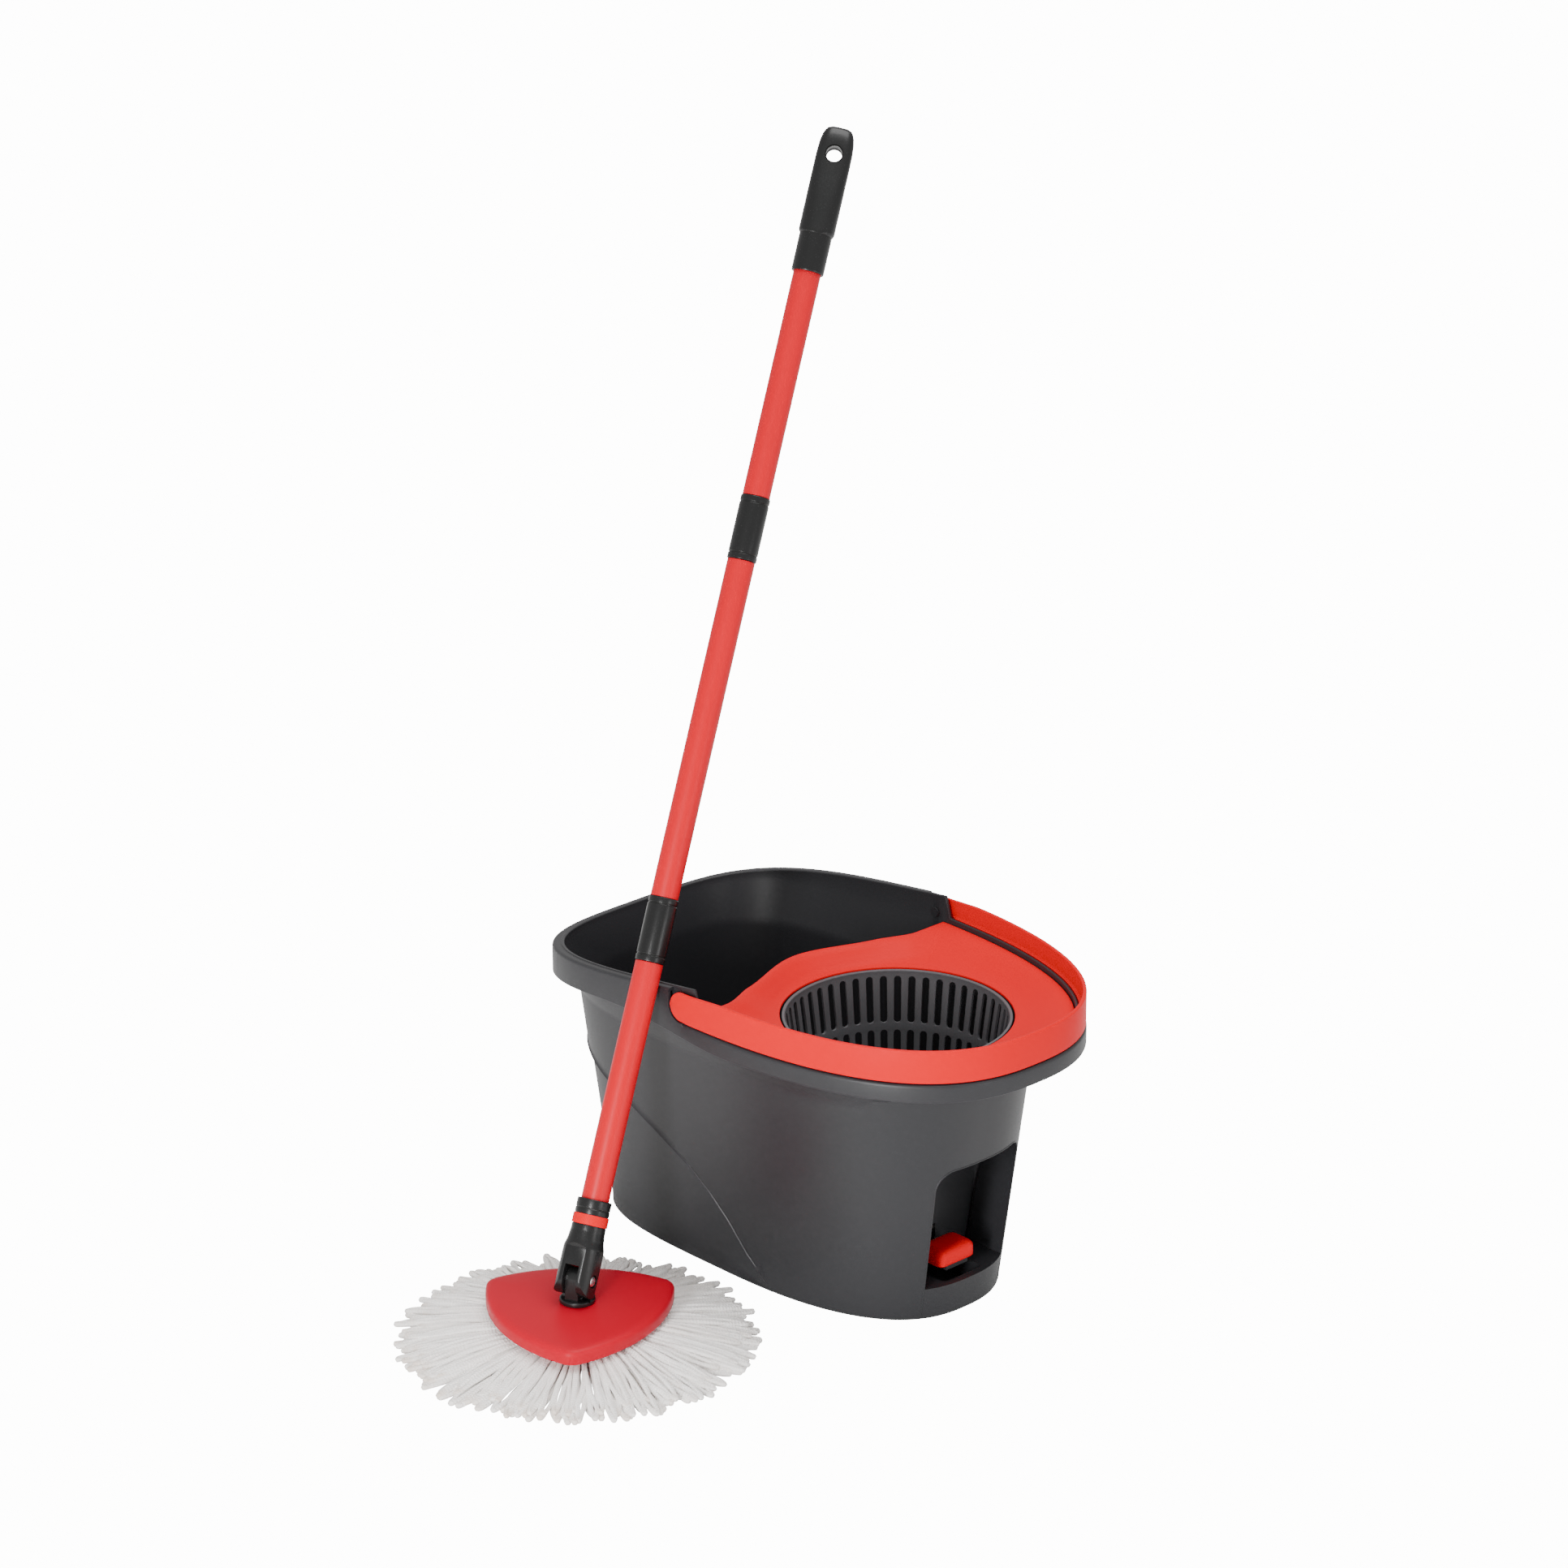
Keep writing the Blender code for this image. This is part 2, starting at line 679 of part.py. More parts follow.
def basket():
    """A slotted bowl, built as two skins of cells with some cells left open."""
    slot_half = math.pi / SLOTS * SLOT_SHARE
    turns = []
    for i in range(SLOTS):
        middle = 2 * math.pi * i / SLOTS
        turns += [middle - slot_half, middle + slot_half]
    slope = (BASKET_R - BASKET_FOOT_R) / (BASKET_TOP_Z - BASKET_FOOT_Z)

    def radius_at(z):
        return BASKET_FOOT_R + (z - BASKET_FOOT_Z) * slope

    bend_r = BASKET_R - 17.0 * MM
    bend_z = BASKET_FLOOR_Z + 5.0 * MM
    outer = [(BASKET_FLOOR_R, BASKET_FLOOR_Z), (bend_r, bend_z)]
    inner = [(BASKET_FLOOR_R, BASKET_FLOOR_Z + BASKET_T), (bend_r - 1.5 * MM, bend_z + BASKET_T - 0.2 * MM)]
    heights = sorted({z for row in SLOT_ROWS for z in row} | {BASKET_TOP_Z})
    outer += [(radius_at(z), z) for z in heights]
    inner += [(radius_at(z) - BASKET_T, z) for z in heights]
    bm = bmesh.new()
    skins = []
    for profile in (outer, inner):
        skins.append([
            [bm.verts.new((SPIN_X + r * math.cos(t), r * math.sin(t), z)) for t in turns]
            for r, z in profile
        ])
    count = len(turns)
    starts = {round(low, 6) for low, _ in SLOT_ROWS}

    def is_open(row, col):
        if row < 0 or row >= len(outer) - 1:
            return False
        return col % 2 == 0 and round(outer[row][1], 6) in starts

    for row in range(len(outer) - 1):
        for col in range(count):
            after = (col + 1) % count
            corners = ((row, col), (row, after), (row + 1, after), (row + 1, col))
            if not is_open(row, col):
                bm.faces.new([skins[0][r][c] for r, c in corners])
                bm.faces.new([skins[1][r][c] for r, c in reversed(corners)])
                continue
            for a, b in zip(corners, corners[1:] + corners[:1]):
                bm.faces.new((skins[0][a[0]][a[1]], skins[0][b[0]][b[1]],
                              skins[1][b[0]][b[1]], skins[1][a[0]][a[1]]))
    for col in range(count):
        after = (col + 1) % count
        bm.faces.new((skins[0][-1][col], skins[0][-1][after], skins[1][-1][after], skins[1][-1][col]))
    bm.faces.new(skins[0][0][::-1])
    bm.faces.new(skins[1][0])
    bowl = link("basket", bm, grey(), smooth=False)
    sleeve = pipe(CLUTCH_R + GAP + 2.2 * MM, CLUTCH_R + GAP, TOWER_Z + 4.5 * MM, BASKET_FLOOR_Z + 1.0 * MM,
                  32, (SPIN_X, 0.0))
    cut(bowl, [sleeve], "UNION")
    cut(bowl, [rod(5.0 * MM, BASKET_FLOOR_Z - 0.01, BASKET_FLOOR_Z + 0.01, 20, (SPIN_X, 0.0))])
    return bowl


def clutch():
    at = (SPIN_X, 0.0)
    low = TOWER_Z + 0.5 * MM
    high = BASKET_FLOOR_Z - 0.5 * MM
    link("clutch_race", turned([(SHAFT_R + GAP, low), (10.0 * MM, low), (10.0 * MM, low + 1.5 * MM),
                                (RACE_R, low + 1.5 * MM), (RACE_R, high), (SHAFT_R + GAP, high)], 32, at),
         steel())
    blank = pipe(CLUTCH_R, RACE_R + 0.1 * MM, low + 1.8 * MM, BASKET_FLOOR_Z - GAP, 32, at)
    ring = link("clutch_ring", blank, acetal())
    pocket_r = RACE_R + ROLLER_R + 0.1 * MM
    for k in range(3):
        turn = math.radians(90 + 120 * k)
        place = (SPIN_X + pocket_r * math.cos(turn), pocket_r * math.sin(turn))
        cut(ring, [rod(ROLLER_R + 0.4 * MM, low - 0.01, high + 0.01, 16, place)])
        link(f"clutch_roller_{k + 1}", rod(ROLLER_R, low + 3.0 * MM, high - 1.0 * MM, 12, place), steel())


def basket_fixings():
    at = (SPIN_X, 0.0)
    washer_z = BASKET_FLOOR_Z + BASKET_T + GAP
    link("thrust_washer", pipe(8.0 * MM, 2.4 * MM, washer_z, washer_z + 1.2 * MM, 24, at), acetal())
    head_z = washer_z + 1.2 * MM + GAP
    tip_z = BASKET_FLOOR_Z - 10.0 * MM
    link("basket_screw", turned([(0.0, tip_z), (2.0 * MM, tip_z), (2.0 * MM, head_z), (5.5 * MM, head_z),
                                 (5.5 * MM, head_z + 2.5 * MM), (4.5 * MM, head_z + 3.2 * MM),
                                 (0.0, head_z + 3.2 * MM)], 20, at), steel())
    foot = washer_z
    link("hub_cap", turned([(10.2 * MM, foot), (13.5 * MM, foot), (12.5 * MM, foot + 7.0 * MM),
                            (9.5 * MM, foot + 12.5 * MM), (0.0, foot + 15.0 * MM),
                            (0.0, foot + 12.5 * MM), (8.0 * MM, foot + 10.5 * MM),
                            (10.2 * MM, foot + 6.5 * MM)], 24, at), grey())


def carry_handle():
    """A band that lies round the wringer's rim, with an inner ledge and round pivot ends."""
    turns = []
    arms = [PIVOT_X + BAND_END_R * reach for reach in (-0.97, -0.82, -0.45, 0.0, 0.6)]
    arms += [LEDGE_X - 2.0 * MM, LEDGE_X + 2.0 * MM, 0.040, 0.060]
    for x in arms:
        turns.append(rim_turn(x, 1, BAND_OUT))
    last = turns[-1]
    steps = 11
    turns += [last * (1 - (i + 1) / steps) for i in range(steps - 1)]
    turns += [0.0]
    turns += [-t for t in reversed(turns[:-1])]
    rings = []
    for turn in turns:
        outer = rim_radius(turn, BAND_OUT)
        x = outer * math.cos(turn)
        low = BAND_LOW_Z
        rise = min(1.0, max(0.0, (x - PIVOT_X) / 0.05))
        high = PIVOT_Z + BAND_END_R + (BAND_TOP_Z - PIVOT_Z - BAND_END_R) * rise
        if x < PIVOT_X:
            half = math.sqrt(max(BAND_END_R ** 2 - (x - PIVOT_X) ** 2, 1e-6))
            low = PIVOT_Z - half
            high = PIVOT_Z + half
        ledge = BAND_OUT - BAND_T - WALL - GAP if x > LEDGE_X else 0.15 * MM
        inner = rim_radius(turn, BAND_OUT - BAND_T)
        shelf = rim_radius(turn, BAND_OUT - BAND_T - ledge)
        shelf_low = LEDGE_Z
        shelf_high = LEDGE_Z + 2.5 * MM
        if x < PIVOT_X:
            shelf_low = PIVOT_Z - 0.3 * (PIVOT_Z - low)
            shelf_high = PIVOT_Z - 0.1 * (PIVOT_Z - low)
        section = [(outer, low + 0.6 * MM), (outer, high - 1.2 * MM), (outer - 0.8 * MM, high),
                   (inner, high), (inner, shelf_high), (shelf, shelf_high),
                   (shelf, shelf_low), (inner, shelf_low), (inner, low), (outer - 0.6 * MM, low)]
        rings.append([around(r, turn, z) for r, z in section])
    band = link("carry_handle", tunnel(rings), red())
    for side in (-1, 1):
        start = side * (RIM_SIDE + BAND_OUT - BAND_T - 0.002)
        end = side * (RIM_SIDE + BAND_OUT - 0.7 * MM)
        low, high = sorted((start, end))
        cut(band, [rod(PIN_R + RUN, low, high, 24, (PIVOT_X, 0.0, PIVOT_Z), "Y")])
    for side, word in ((-1, "front"), (1, "back")):
        inside = RIM_SIDE - 2.4 * MM
        profile = [(0.0, inside), (4.2 * MM, inside), (4.2 * MM, RIM_SIDE - 0.6 * MM),
                   (PIN_R, RIM_SIDE - 0.6 * MM), (PIN_R, RIM_SIDE + BAND_OUT - 1.0 * MM),
                   (0.0, RIM_SIDE + BAND_OUT - 1.0 * MM)]
        profile = [(r, side * h) for r, h in profile]
        link(f"handle_pin_{word}", turned(profile, 24, (PIVOT_X, 0.0, PIVOT_Z), "Y"), charcoal())


# ---------------------------------------------------------------- drive

def step_axis():
    distance = MODULE * (STEP_TEETH + SHAFT_TEETH) / 2
    return (SPIN_X + distance * math.cos(STEP_ANGLE), distance * math.sin(STEP_ANGLE))


def sector_radius():
    return SECTOR_MODULE * SECTOR_FULL_TEETH / 2


def rack_low_line():
    return PEDAL_Z + sector_radius()


def rack_side_line():
    return step_axis()[1] + MODULE * STEP_PINION_TEETH / 2


def gear_plate():
    screws = plate_screw_places()
    sx, sy = step_axis()
    at = (SPIN_X, 0.0)
    low = PLATE_UNDER_Z - 0.005
    high = PLATE_TOP_Z + 0.005
    plate = link("gear_plate", block((CAVITY_X0 + 1.0 * MM, CAVITY_Y0 + 5.5 * MM, PLATE_UNDER_Z),
                                     (CAVITY_X1 - 1.0 * MM, CAVITY_Y1 - 1.5 * MM, PLATE_TOP_Z)),
                 acetal(), smooth=False)
    clear = PILLAR + 0.5 * MM
    corners = []
    for x in (CAVITY_X0, CAVITY_X1):
        for y in (CAVITY_Y0, CAVITY_Y1):
            corners.append(block((x - clear, y - clear, low), (x + clear, y + clear, high)))
    sector_slot = block((PEDAL_X - 26.0 * MM, 14.0 * MM, low), (CAVITY_X1 - 2.0 * MM, 23.5 * MM, high))
    cut(plate, corners + [sector_slot, rod(BUSH_R + GAP, low, high, 24, at),
                          rod(1.5 * MM + RUN, low, high, 16, (sx, sy))]
        + [rod(1.5 * MM, low, high, 12, p) for p in screws])
    head = PLATE_UNDER_Z - GAP
    for k, (x, y) in enumerate(screws):
        link(f"gear_plate_screw_{k + 1}", turned(
            [(0.0, head - 2.2 * MM), (3.0 * MM, head - 2.2 * MM), (3.0 * MM, head), (1.0 * MM, head),
             (1.0 * MM, head + 12.3 * MM), (0.0, head + 13.3 * MM)], 10, (x, y)), steel())
    for name, bottom, top in (("lower_bush", PLATE_UNDER_Z - 0.5 * MM, PLATE_TOP_Z + 1.5 * MM),
                              ("upper_bush", CEILING_Z + 0.5 * MM, CEILING_Z + 15.0 * MM)):
        link(name, pipe(BUSH_R, SHAFT_R + RUN, bottom, top, 32, at), brass())
    link("shaft_seal", pipe(BUSH_R, SHAFT_R + 0.1 * MM, TOWER_Z - 9.5 * MM, TOWER_Z - 3.5 * MM, 32, at),
         rubber())
    over = rack_low_line() + 0.9 * MM + RACK_H
    back = rack_side_line() + 1.05 * MM + RACK_D + GAP
    foot = PLATE_TOP_Z + GAP
    guide = [(back, foot), (back + 3.2 * MM, foot), (back + 3.2 * MM, over + 2.8 * MM),
             (back - 6.0 * MM, over + 2.8 * MM), (back - 6.0 * MM, over + GAP), (back, over + GAP)]
    link("rack_guide", prism(guide, PEDAL_X - 6.5 * MM, CAVITY_X1 - PILLAR - 1.0 * MM, "X"), acetal(),
         smooth=False)


def drive_rack():
    """One bar with two rows of teeth: the pedal sector's below, the step gear's on its side."""
    sx = step_axis()[0]
    side_line = rack_side_line()
    low_line = rack_low_line()
    x0 = sx - 0.0195
    x1 = PEDAL_X + 0.0065
    root_y = side_line + 1.05 * MODULE
    root_z = low_line + 1.05 * SECTOR_MODULE
    top = root_z + RACK_H - 0.5 * MM
    body = link("drive_rack", block((x0, root_y, root_z), (x1, root_y + RACK_D, top)), acetal(), smooth=False)
    pitch = math.pi * MODULE
    count = 7
    first = sx + pitch / 2 - (count - 1) * pitch
    teeth = []
    for k in range(count):
        teeth.append(prism(sink(rack_teeth(first + k * pitch, 1, MODULE, side_line, -1), root_y, 1),
                           root_z + 0.3 * MM, top - 0.3 * MM))
    pitch = math.pi * SECTOR_MODULE
    count = 5
    first = PEDAL_X + pitch / 2 - (count - 1) * pitch
    for k in range(count):
        teeth.append(prism(sink(rack_teeth(first + k * pitch, 1, SECTOR_MODULE, low_line, -1), root_z, 1),
                           root_y + 1.0 * MM, root_y + RACK_D - 0.4 * MM, "Y"))
    return cut(body, teeth, "UNION")


def sink(points, root, side):
    """Move a tooth's root points into the bar, so that the two join."""
    return [(a, b + side * 0.4 * MM if abs(b - root) < 1e-6 else b) for a, b in points]


def step_gear():
    sx, sy = step_axis()
    towards_shaft = math.atan2(-sy, SPIN_X - sx)
    wheel = shift(gear_outline(STEP_TEETH, MODULE, towards_shaft), sx, sy)
    small = shift(gear_outline(STEP_PINION_TEETH, MODULE, math.pi / 2), sx, sy)
    gear = link("step_gear", prism(wheel, WHEEL_Z, WHEEL_Z + GEAR_FACE), acetal(), smooth=False)
    cut(gear, [prism(small, PLATE_TOP_Z + 1.5 * MM, WHEEL_Z + 0.5 * MM)], "UNION")
    cut(gear, [rod(1.5 * MM + RUN, PLATE_UNDER_Z, CEILING_Z, 20, (sx, sy))])
    head = PLATE_UNDER_Z - GAP
    link("step_gear_axle", turned([(0.0, head - 2.7 * MM), (3.2 * MM, head - 2.7 * MM), (3.2 * MM, head),
                                   (1.5 * MM, head), (1.5 * MM, CEILING_Z - 2.5 * MM),
                                   (0.0, CEILING_Z - 2.5 * MM)], 20, (sx, sy)), steel())


def shift(points, dx, dy):
    return [(x + dx, y + dy) for x, y in points]


def drive_shaft():
    sx, sy = step_axis()
    towards_step = math.atan2(sy, sx - SPIN_X)
    phase = towards_step + math.pi / SHAFT_TEETH
    teeth = shift(gear_outline(SHAFT_TEETH, MODULE, phase), SPIN_X, 0.0)
    top = BASKET_FLOOR_Z + BASKET_T
    shaft = link("drive_shaft", rod(SHAFT_R, PLATE_UNDER_Z - 2.0 * MM, top, 32, (SPIN_X, 0.0)), steel())
    cut(shaft, [prism(teeth, WHEEL_Z - 0.5 * MM, WHEEL_Z + GEAR_FACE + 0.5 * MM)], "UNION")
    cut(shaft, [rod(2.3 * MM, BASKET_FLOOR_Z - 12.0 * MM, top + 0.01, 16, (SPIN_X, 0.0))])


def base_cover():
    x0 = CAVITY_X0 + GAP
    x1 = CAVITY_X1 - GAP
    y0 = CAVITY_Y0 + GAP
    y1 = CAVITY_Y1 - GAP
    cover = link("base_cover", block((x0, y0, 0.0012), (x1, y1, 0.0040)), charcoal(), smooth=False)
    ears = []
    for y in (-0.0245, 0.0265):
        outline = [(PEDAL_X - 0.009, 0.0030), (PEDAL_X + 0.009, 0.0030)]
        for i in range(9):
            turn = math.radians(22.5 * i)
            outline.append((PEDAL_X + 0.0055 * math.cos(turn), PEDAL_Z + 0.0055 * math.sin(turn)))
        ears.append(prism(outline, y, y + 2.5 * MM, "Y"))
    cut(cover, ears, "UNION")
    bore = rod(AXLE_R + RUN, -0.04, 0.05, 24, (PEDAL_X, 0.0, PEDAL_Z), "Y")
    drills = [rod(1.5 * MM, -0.01, 0.01, 8, p) for p in cover_screw_places()]
    sinks = [rod(3.3 * MM, -0.01, 0.0027, 12, p) for p in cover_screw_places()]
    cut(cover, [bore, joined(drills), joined(sinks)])
    for k, (x, y) in enumerate(cover_screw_places()):
        link(f"cover_screw_{k + 1}", turned(
            [(0.0, 0.0008), (2.8 * MM, 0.0008), (2.8 * MM, 0.0024), (1.0 * MM, 0.0024),
             (1.0 * MM, 0.0140), (0.0, 0.0150)], 10, (x, y)), steel())
    link("pedal_axle", rod(AXLE_R, -0.0270, 0.0310, 24, (PEDAL_X, 0.0, PEDAL_Z), "Y"), steel())


def pedal():
    """The lever from the pad to its axle, with the sector that drives the rack."""
    arm = link("pedal_arm", rod(5.3 * MM, -0.0215, 0.0260, 24, (PEDAL_X, 0.0, PEDAL_Z), "Y"), charcoal())
    under = PAD_Z0 - 4.3 * MM
    lever = [(PEDAL_X - 4.0 * MM, PEDAL_Z - 3.5 * MM), (PAD_X0 - 9.0 * MM, under - 8.0 * MM),
             (PAD_X0 - 1.0 * MM, under), (PAD_X1 - 2.0 * MM, under), (PAD_X1 - 2.0 * MM, PAD_Z0 - GAP),
             (PAD_X0 - 2.0 * MM, PAD_Z0 - GAP), (PAD_X0 - 12.0 * MM, PAD_Z0 - 6.3 * MM),
             (PEDAL_X - 2.0 * MM, PEDAL_Z + 4.5 * MM)]
    cut(arm, [prism(lever, 7.5 * MM - PAD_SIDE, PAD_SIDE - 7.5 * MM, "Y")], "UNION")
    start = -5
    teeth = gear_outline(SECTOR_FULL_TEETH, SECTOR_MODULE, 0.0, start, 2)
    pitch = 2 * math.pi / SECTOR_FULL_TEETH
    outline = [(0.004 * math.cos((start - 1) * pitch - 0.6), 0.004 * math.sin((start - 1) * pitch - 0.6))]
    outline += teeth
    outline += [(0.004 * math.cos(2 * pitch + 0.6), 0.004 * math.sin(2 * pitch + 0.6))]
    outline = [(PEDAL_X + a_y, PEDAL_Z + a_x) for a_x, a_y in outline]
    y0 = rack_side_line() + 1.05 * MODULE + 1.5 * MM
    cut(arm, [prism(outline, y0, y0 + 7.0 * MM, "Y")], "UNION")
    cut(arm, [rod(AXLE_R + RUN, -0.05, 0.05, 24, (PEDAL_X, 0.0, PEDAL_Z), "Y")])
    pad_rings = []
    for z, inset in ((PAD_Z0, 0.0), (PAD_Z1 - 4.0 * MM, 0.3 * MM), (PAD_Z1 - 1.2 * MM, 1.6 * MM),
                     (PAD_Z1, 4.5 * MM)):
        outline = rounded_box(PAD_X0 + inset, PAD_X1 - inset, PAD_SIDE - inset, 6.0 * MM - inset * 0.6)
        pad_rings.append([(x, y, z) for x, y in outline])
    link("pedal_pad", tunnel(pad_rings), deep_red())
    pedal_spring()


def pedal_spring():
    """Compression spring between the base cover and the lever."""
    turns = 5
    steps = 10
    low = 0.0052
    high = 0.0198
    radius = 4.0 * MM
    wire = 0.6 * MM
    count = turns * steps
    rings = []
    for i in range(count + 1):
        share = i / count
        turn = 2 * math.pi * turns * share
        centre = Vector((CAVITY_X1 - 6.5 * MM + radius * math.cos(turn), radius * math.sin(turn),
                         low + (high - low) * share))
        out = Vector((math.cos(turn), math.sin(turn), 0.0))
        up = Vector((0.0, 0.0, 1.0))
        rings.append([centre + wire * (out * math.cos(a) + up * math.sin(a))
                      for a in (2 * math.pi * k / 5 for k in range(5))])
    link("pedal_spring", tunnel(rings), steel())


# ---------------------------------------------------------------- mop head

def plate_outline(inset=0.0):
    """A triangle of constant width with rounded corners, about the origin."""
    centre_r = PLATE_CORNER_R - PLATE_ROUND
    side = centre_r * math.sqrt(3.0)
    points = []
    for k in range(3):
        corner_turn = PLATE_TURN + k * 2 * math.pi / 3
        corner = Vector((centre_r * math.cos(corner_turn), centre_r * math.sin(corner_turn)))
        for i in range(5):
            turn = corner_turn - math.pi / 6 + math.pi / 3 * i / 4
            reach = PLATE_ROUND - inset
            points.append(corner + reach * Vector((math.cos(turn), math.sin(turn))))
        opposite_turn = corner_turn + 4 * math.pi / 3
        opposite = Vector((centre_r * math.cos(opposite_turn), centre_r * math.sin(opposite_turn)))
        for i in range(1, 7):
            turn = opposite_turn + math.pi - math.pi / 6 + math.pi / 3 * i / 7
            points.append(opposite + (side + PLATE_ROUND - inset) * Vector((math.cos(turn), math.sin(turn))))
    return points


def mop_head(root):
    refill = [(REFILL_HOLE_R, 0.0), (0.125, 0.0), (0.138, 0.0020), (REFILL_R, 0.0080), (0.141, 0.0145),
              (0.128, 0.0190), (0.100, REFILL_Z), (REFILL_HOLE_R, REFILL_Z)]
    link("refill", turned(refill, 36), yarn(), root)
    rings = []
    for z, inset in ((PLATE_Z0, 0.0), (0.0305, 0.0), (0.0330, 1.6 * MM), (0.0345, 6.0 * MM)):
        rings.append([(p.x, p.y, z) for p in plate_outline(inset)])
    shrink = 0.34
    rings.append([(p.x * shrink, p.y * shrink, PLATE_Z1) for p in plate_outline(6.0 * MM)])
    plate = link("head_plate", tunnel(rings), deep_red(), root)
    cut(plate, [at_root(root, rod(3.0 * MM + GAP, 0.0, 0.05, 16))])
    profile = [(3.6 * MM, 0.0150), (20.0 * MM, 0.0150), (26.5 * MM, 0.0040), (27.5 * MM, 0.0040),
               (27.5 * MM, PLATE_Z0 - GAP), (3.6 * MM, PLATE_Z0 - GAP)]
    link("retainer_ring", turned(profile, 32), deep_red(), root)
    profile = [(0.0, 0.0110), (6.0 * MM, 0.0110), (6.0 * MM, 0.0145), (3.0 * MM, 0.0145),
               (3.0 * MM, 0.0385), (4.6 * MM, 0.0385), (4.6 * MM, 0.0405), (0.0, 0.0405)]
    link("head_spindle", turned(profile, 24), steel(), root)


def at_root(root, bm):
    """Carry a cutter made about the origin to its parent's place."""
    bm.transform(Matrix.Translation(root.location) @ Euler(root.rotation_euler).to_matrix().to_4x4())
    return bm


def swivel_base(root):
    """The joint block: a round foot that turns on the spindle, and a tongue for the fork."""
    foot = turned([(0.0, PLATE_Z1 + 0.7 * MM), (14.0 * MM, PLATE_Z1 + 0.7 * MM), (14.0 * MM, 0.0390),
                   (13.0 * MM, 0.0400), (0.0, 0.0400)], 32)
    base = link("swivel_base", foot, black(), root)
    outline = [(-0.0100, 0.0380), (0.0100, 0.0380)]
    for i in range(9):
        turn = math.radians(22.5 * i)
        outline.append((0.0085 * math.cos(turn), JOINT_Z + 0.0085 * math.sin(turn)))
    width = FORK_SLOT - GAP
    cut(base, [at_root(root, prism(outline, -width, width, "X"))], "UNION")
    stem = rod(3.0 * MM + RUN, 0.02, 0.0395, 24)
    bore = rod(2.4 * MM + RUN, -0.02, 0.02, 24, (0.0, 0.0, JOINT_Z), "X")
    cut(base, [at_root(root, stem), at_root(root, bore)])
    window = block((-0.02, -4.8 * MM, 0.0384), (0.02, 4.8 * MM, 0.0409))
    cut(base, [at_root(root, window)])


# ---------------------------------------------------------------- mop handle

def fork_socket(root):
    """The fork that holds the tongue, and the socket that takes the lowest tube."""
    profile = [(0.0, -0.0150), (0.0160, -0.0150), (0.0160, 0.0240), (0.0145, 0.0290), (SOCKET_R, 0.0370),
               (SOCKET_R, 0.0415), (SOCKET_R - 0.4 * MM, 0.0415), (SOCKET_R - 0.4 * MM, 0.0505),
               (SOCKET_R, 0.0505), (SOCKET_R, SOCKET_END), (TUBE_R + GAP, SOCKET_END),
               (TUBE_R + GAP, 0.0340), (0.0, 0.0340)]
    fork = link("fork_socket", turned(profile, 20), black(), root)
    wide = 17.0 * MM
    slab = [(wide, 0.030), (wide, 0.07), (-wide, 0.07), (-wide, 0.030), (-FORK_Y, 0.024)]
    for i in range(11):
        turn = math.pi + math.pi * i / 10
        slab.append((FORK_Y * math.cos(turn), FORK_Y * math.sin(turn)))
    slab.append((FORK_Y, 0.024))
    frame = at_root(root, prism(slab, -0.02, 0.02, "X"))
    cut(fork, [frame], "INTERSECT")
    flats = [at_root(root, block((FORK_X, -0.02, -0.02), (0.03, 0.02, 0.0235))),
             at_root(root, block((-0.03, -0.02, -0.02), (-FORK_X, 0.02, 0.0235)))]
    gap = [at_root(root, block((-FORK_SLOT, -0.03, -0.03), (FORK_SLOT, 0.03, 0.0150)))]
    bore = [at_root(root, rod(2.4 * MM + GAP, -0.02, 0.02, 16, (0.0, 0.0, 0.0), "X")),
            at_root(root, rod(5.2 * MM, 0.0118, 0.02, 20, (0.0, 0.0, 0.0), "X")),
            at_root(root, rod(5.2 * MM, -0.02, -0.0112, 20, (0.0, 0.0, 0.0), "X"))]
    cut(fork, flats + gap + bore)
    profile = [(0.0, -0.0140), (2.4 * MM, -0.0140), (2.4 * MM, 0.0121), (4.4 * MM, 0.0121),
               (4.4 * MM, 0.0138), (3.6 * MM, 0.0144), (0.0, 0.0144)]
    link("pivot_screw", turned(profile, 24, (0.0, 0.0, 0.0), "X"), steel(), root)
    link("pivot_nut", turned([(3.1 * MM, -0.0143), (4.8 * MM, -0.0143), (4.8 * MM, -0.0115),
                              (3.1 * MM, -0.0115)], 6, (0.0, 0.0, 0.0), "X"), steel(), root)
    link("colour_ring", pipe(SOCKET_R + 0.6 * MM, SOCKET_R - 0.1 * MM, 0.0420, 0.0500, 32), red(), root)


def tube(name, low, high, root):
    link(name, pipe(TUBE_R, TUBE_R - TUBE_T, low, high, 24), red_paint(), root)


def connector(name, low, high, root):
    spigot = TUBE_R - TUBE_T - GAP
    reach = 0.022
    profile = [(0.0, low - reach), (spigot - 0.6 * MM, low - reach), (spigot, low - reach + 0.002),
               (spigot, low), (BARREL_R, low), (BARREL_R, high), (spigot, high),
               (spigot, high + reach - 0.002), (spigot - 0.6 * MM, high + reach), (0.0, high + reach)]
    link(name, turned(profile, 24), black(), root)


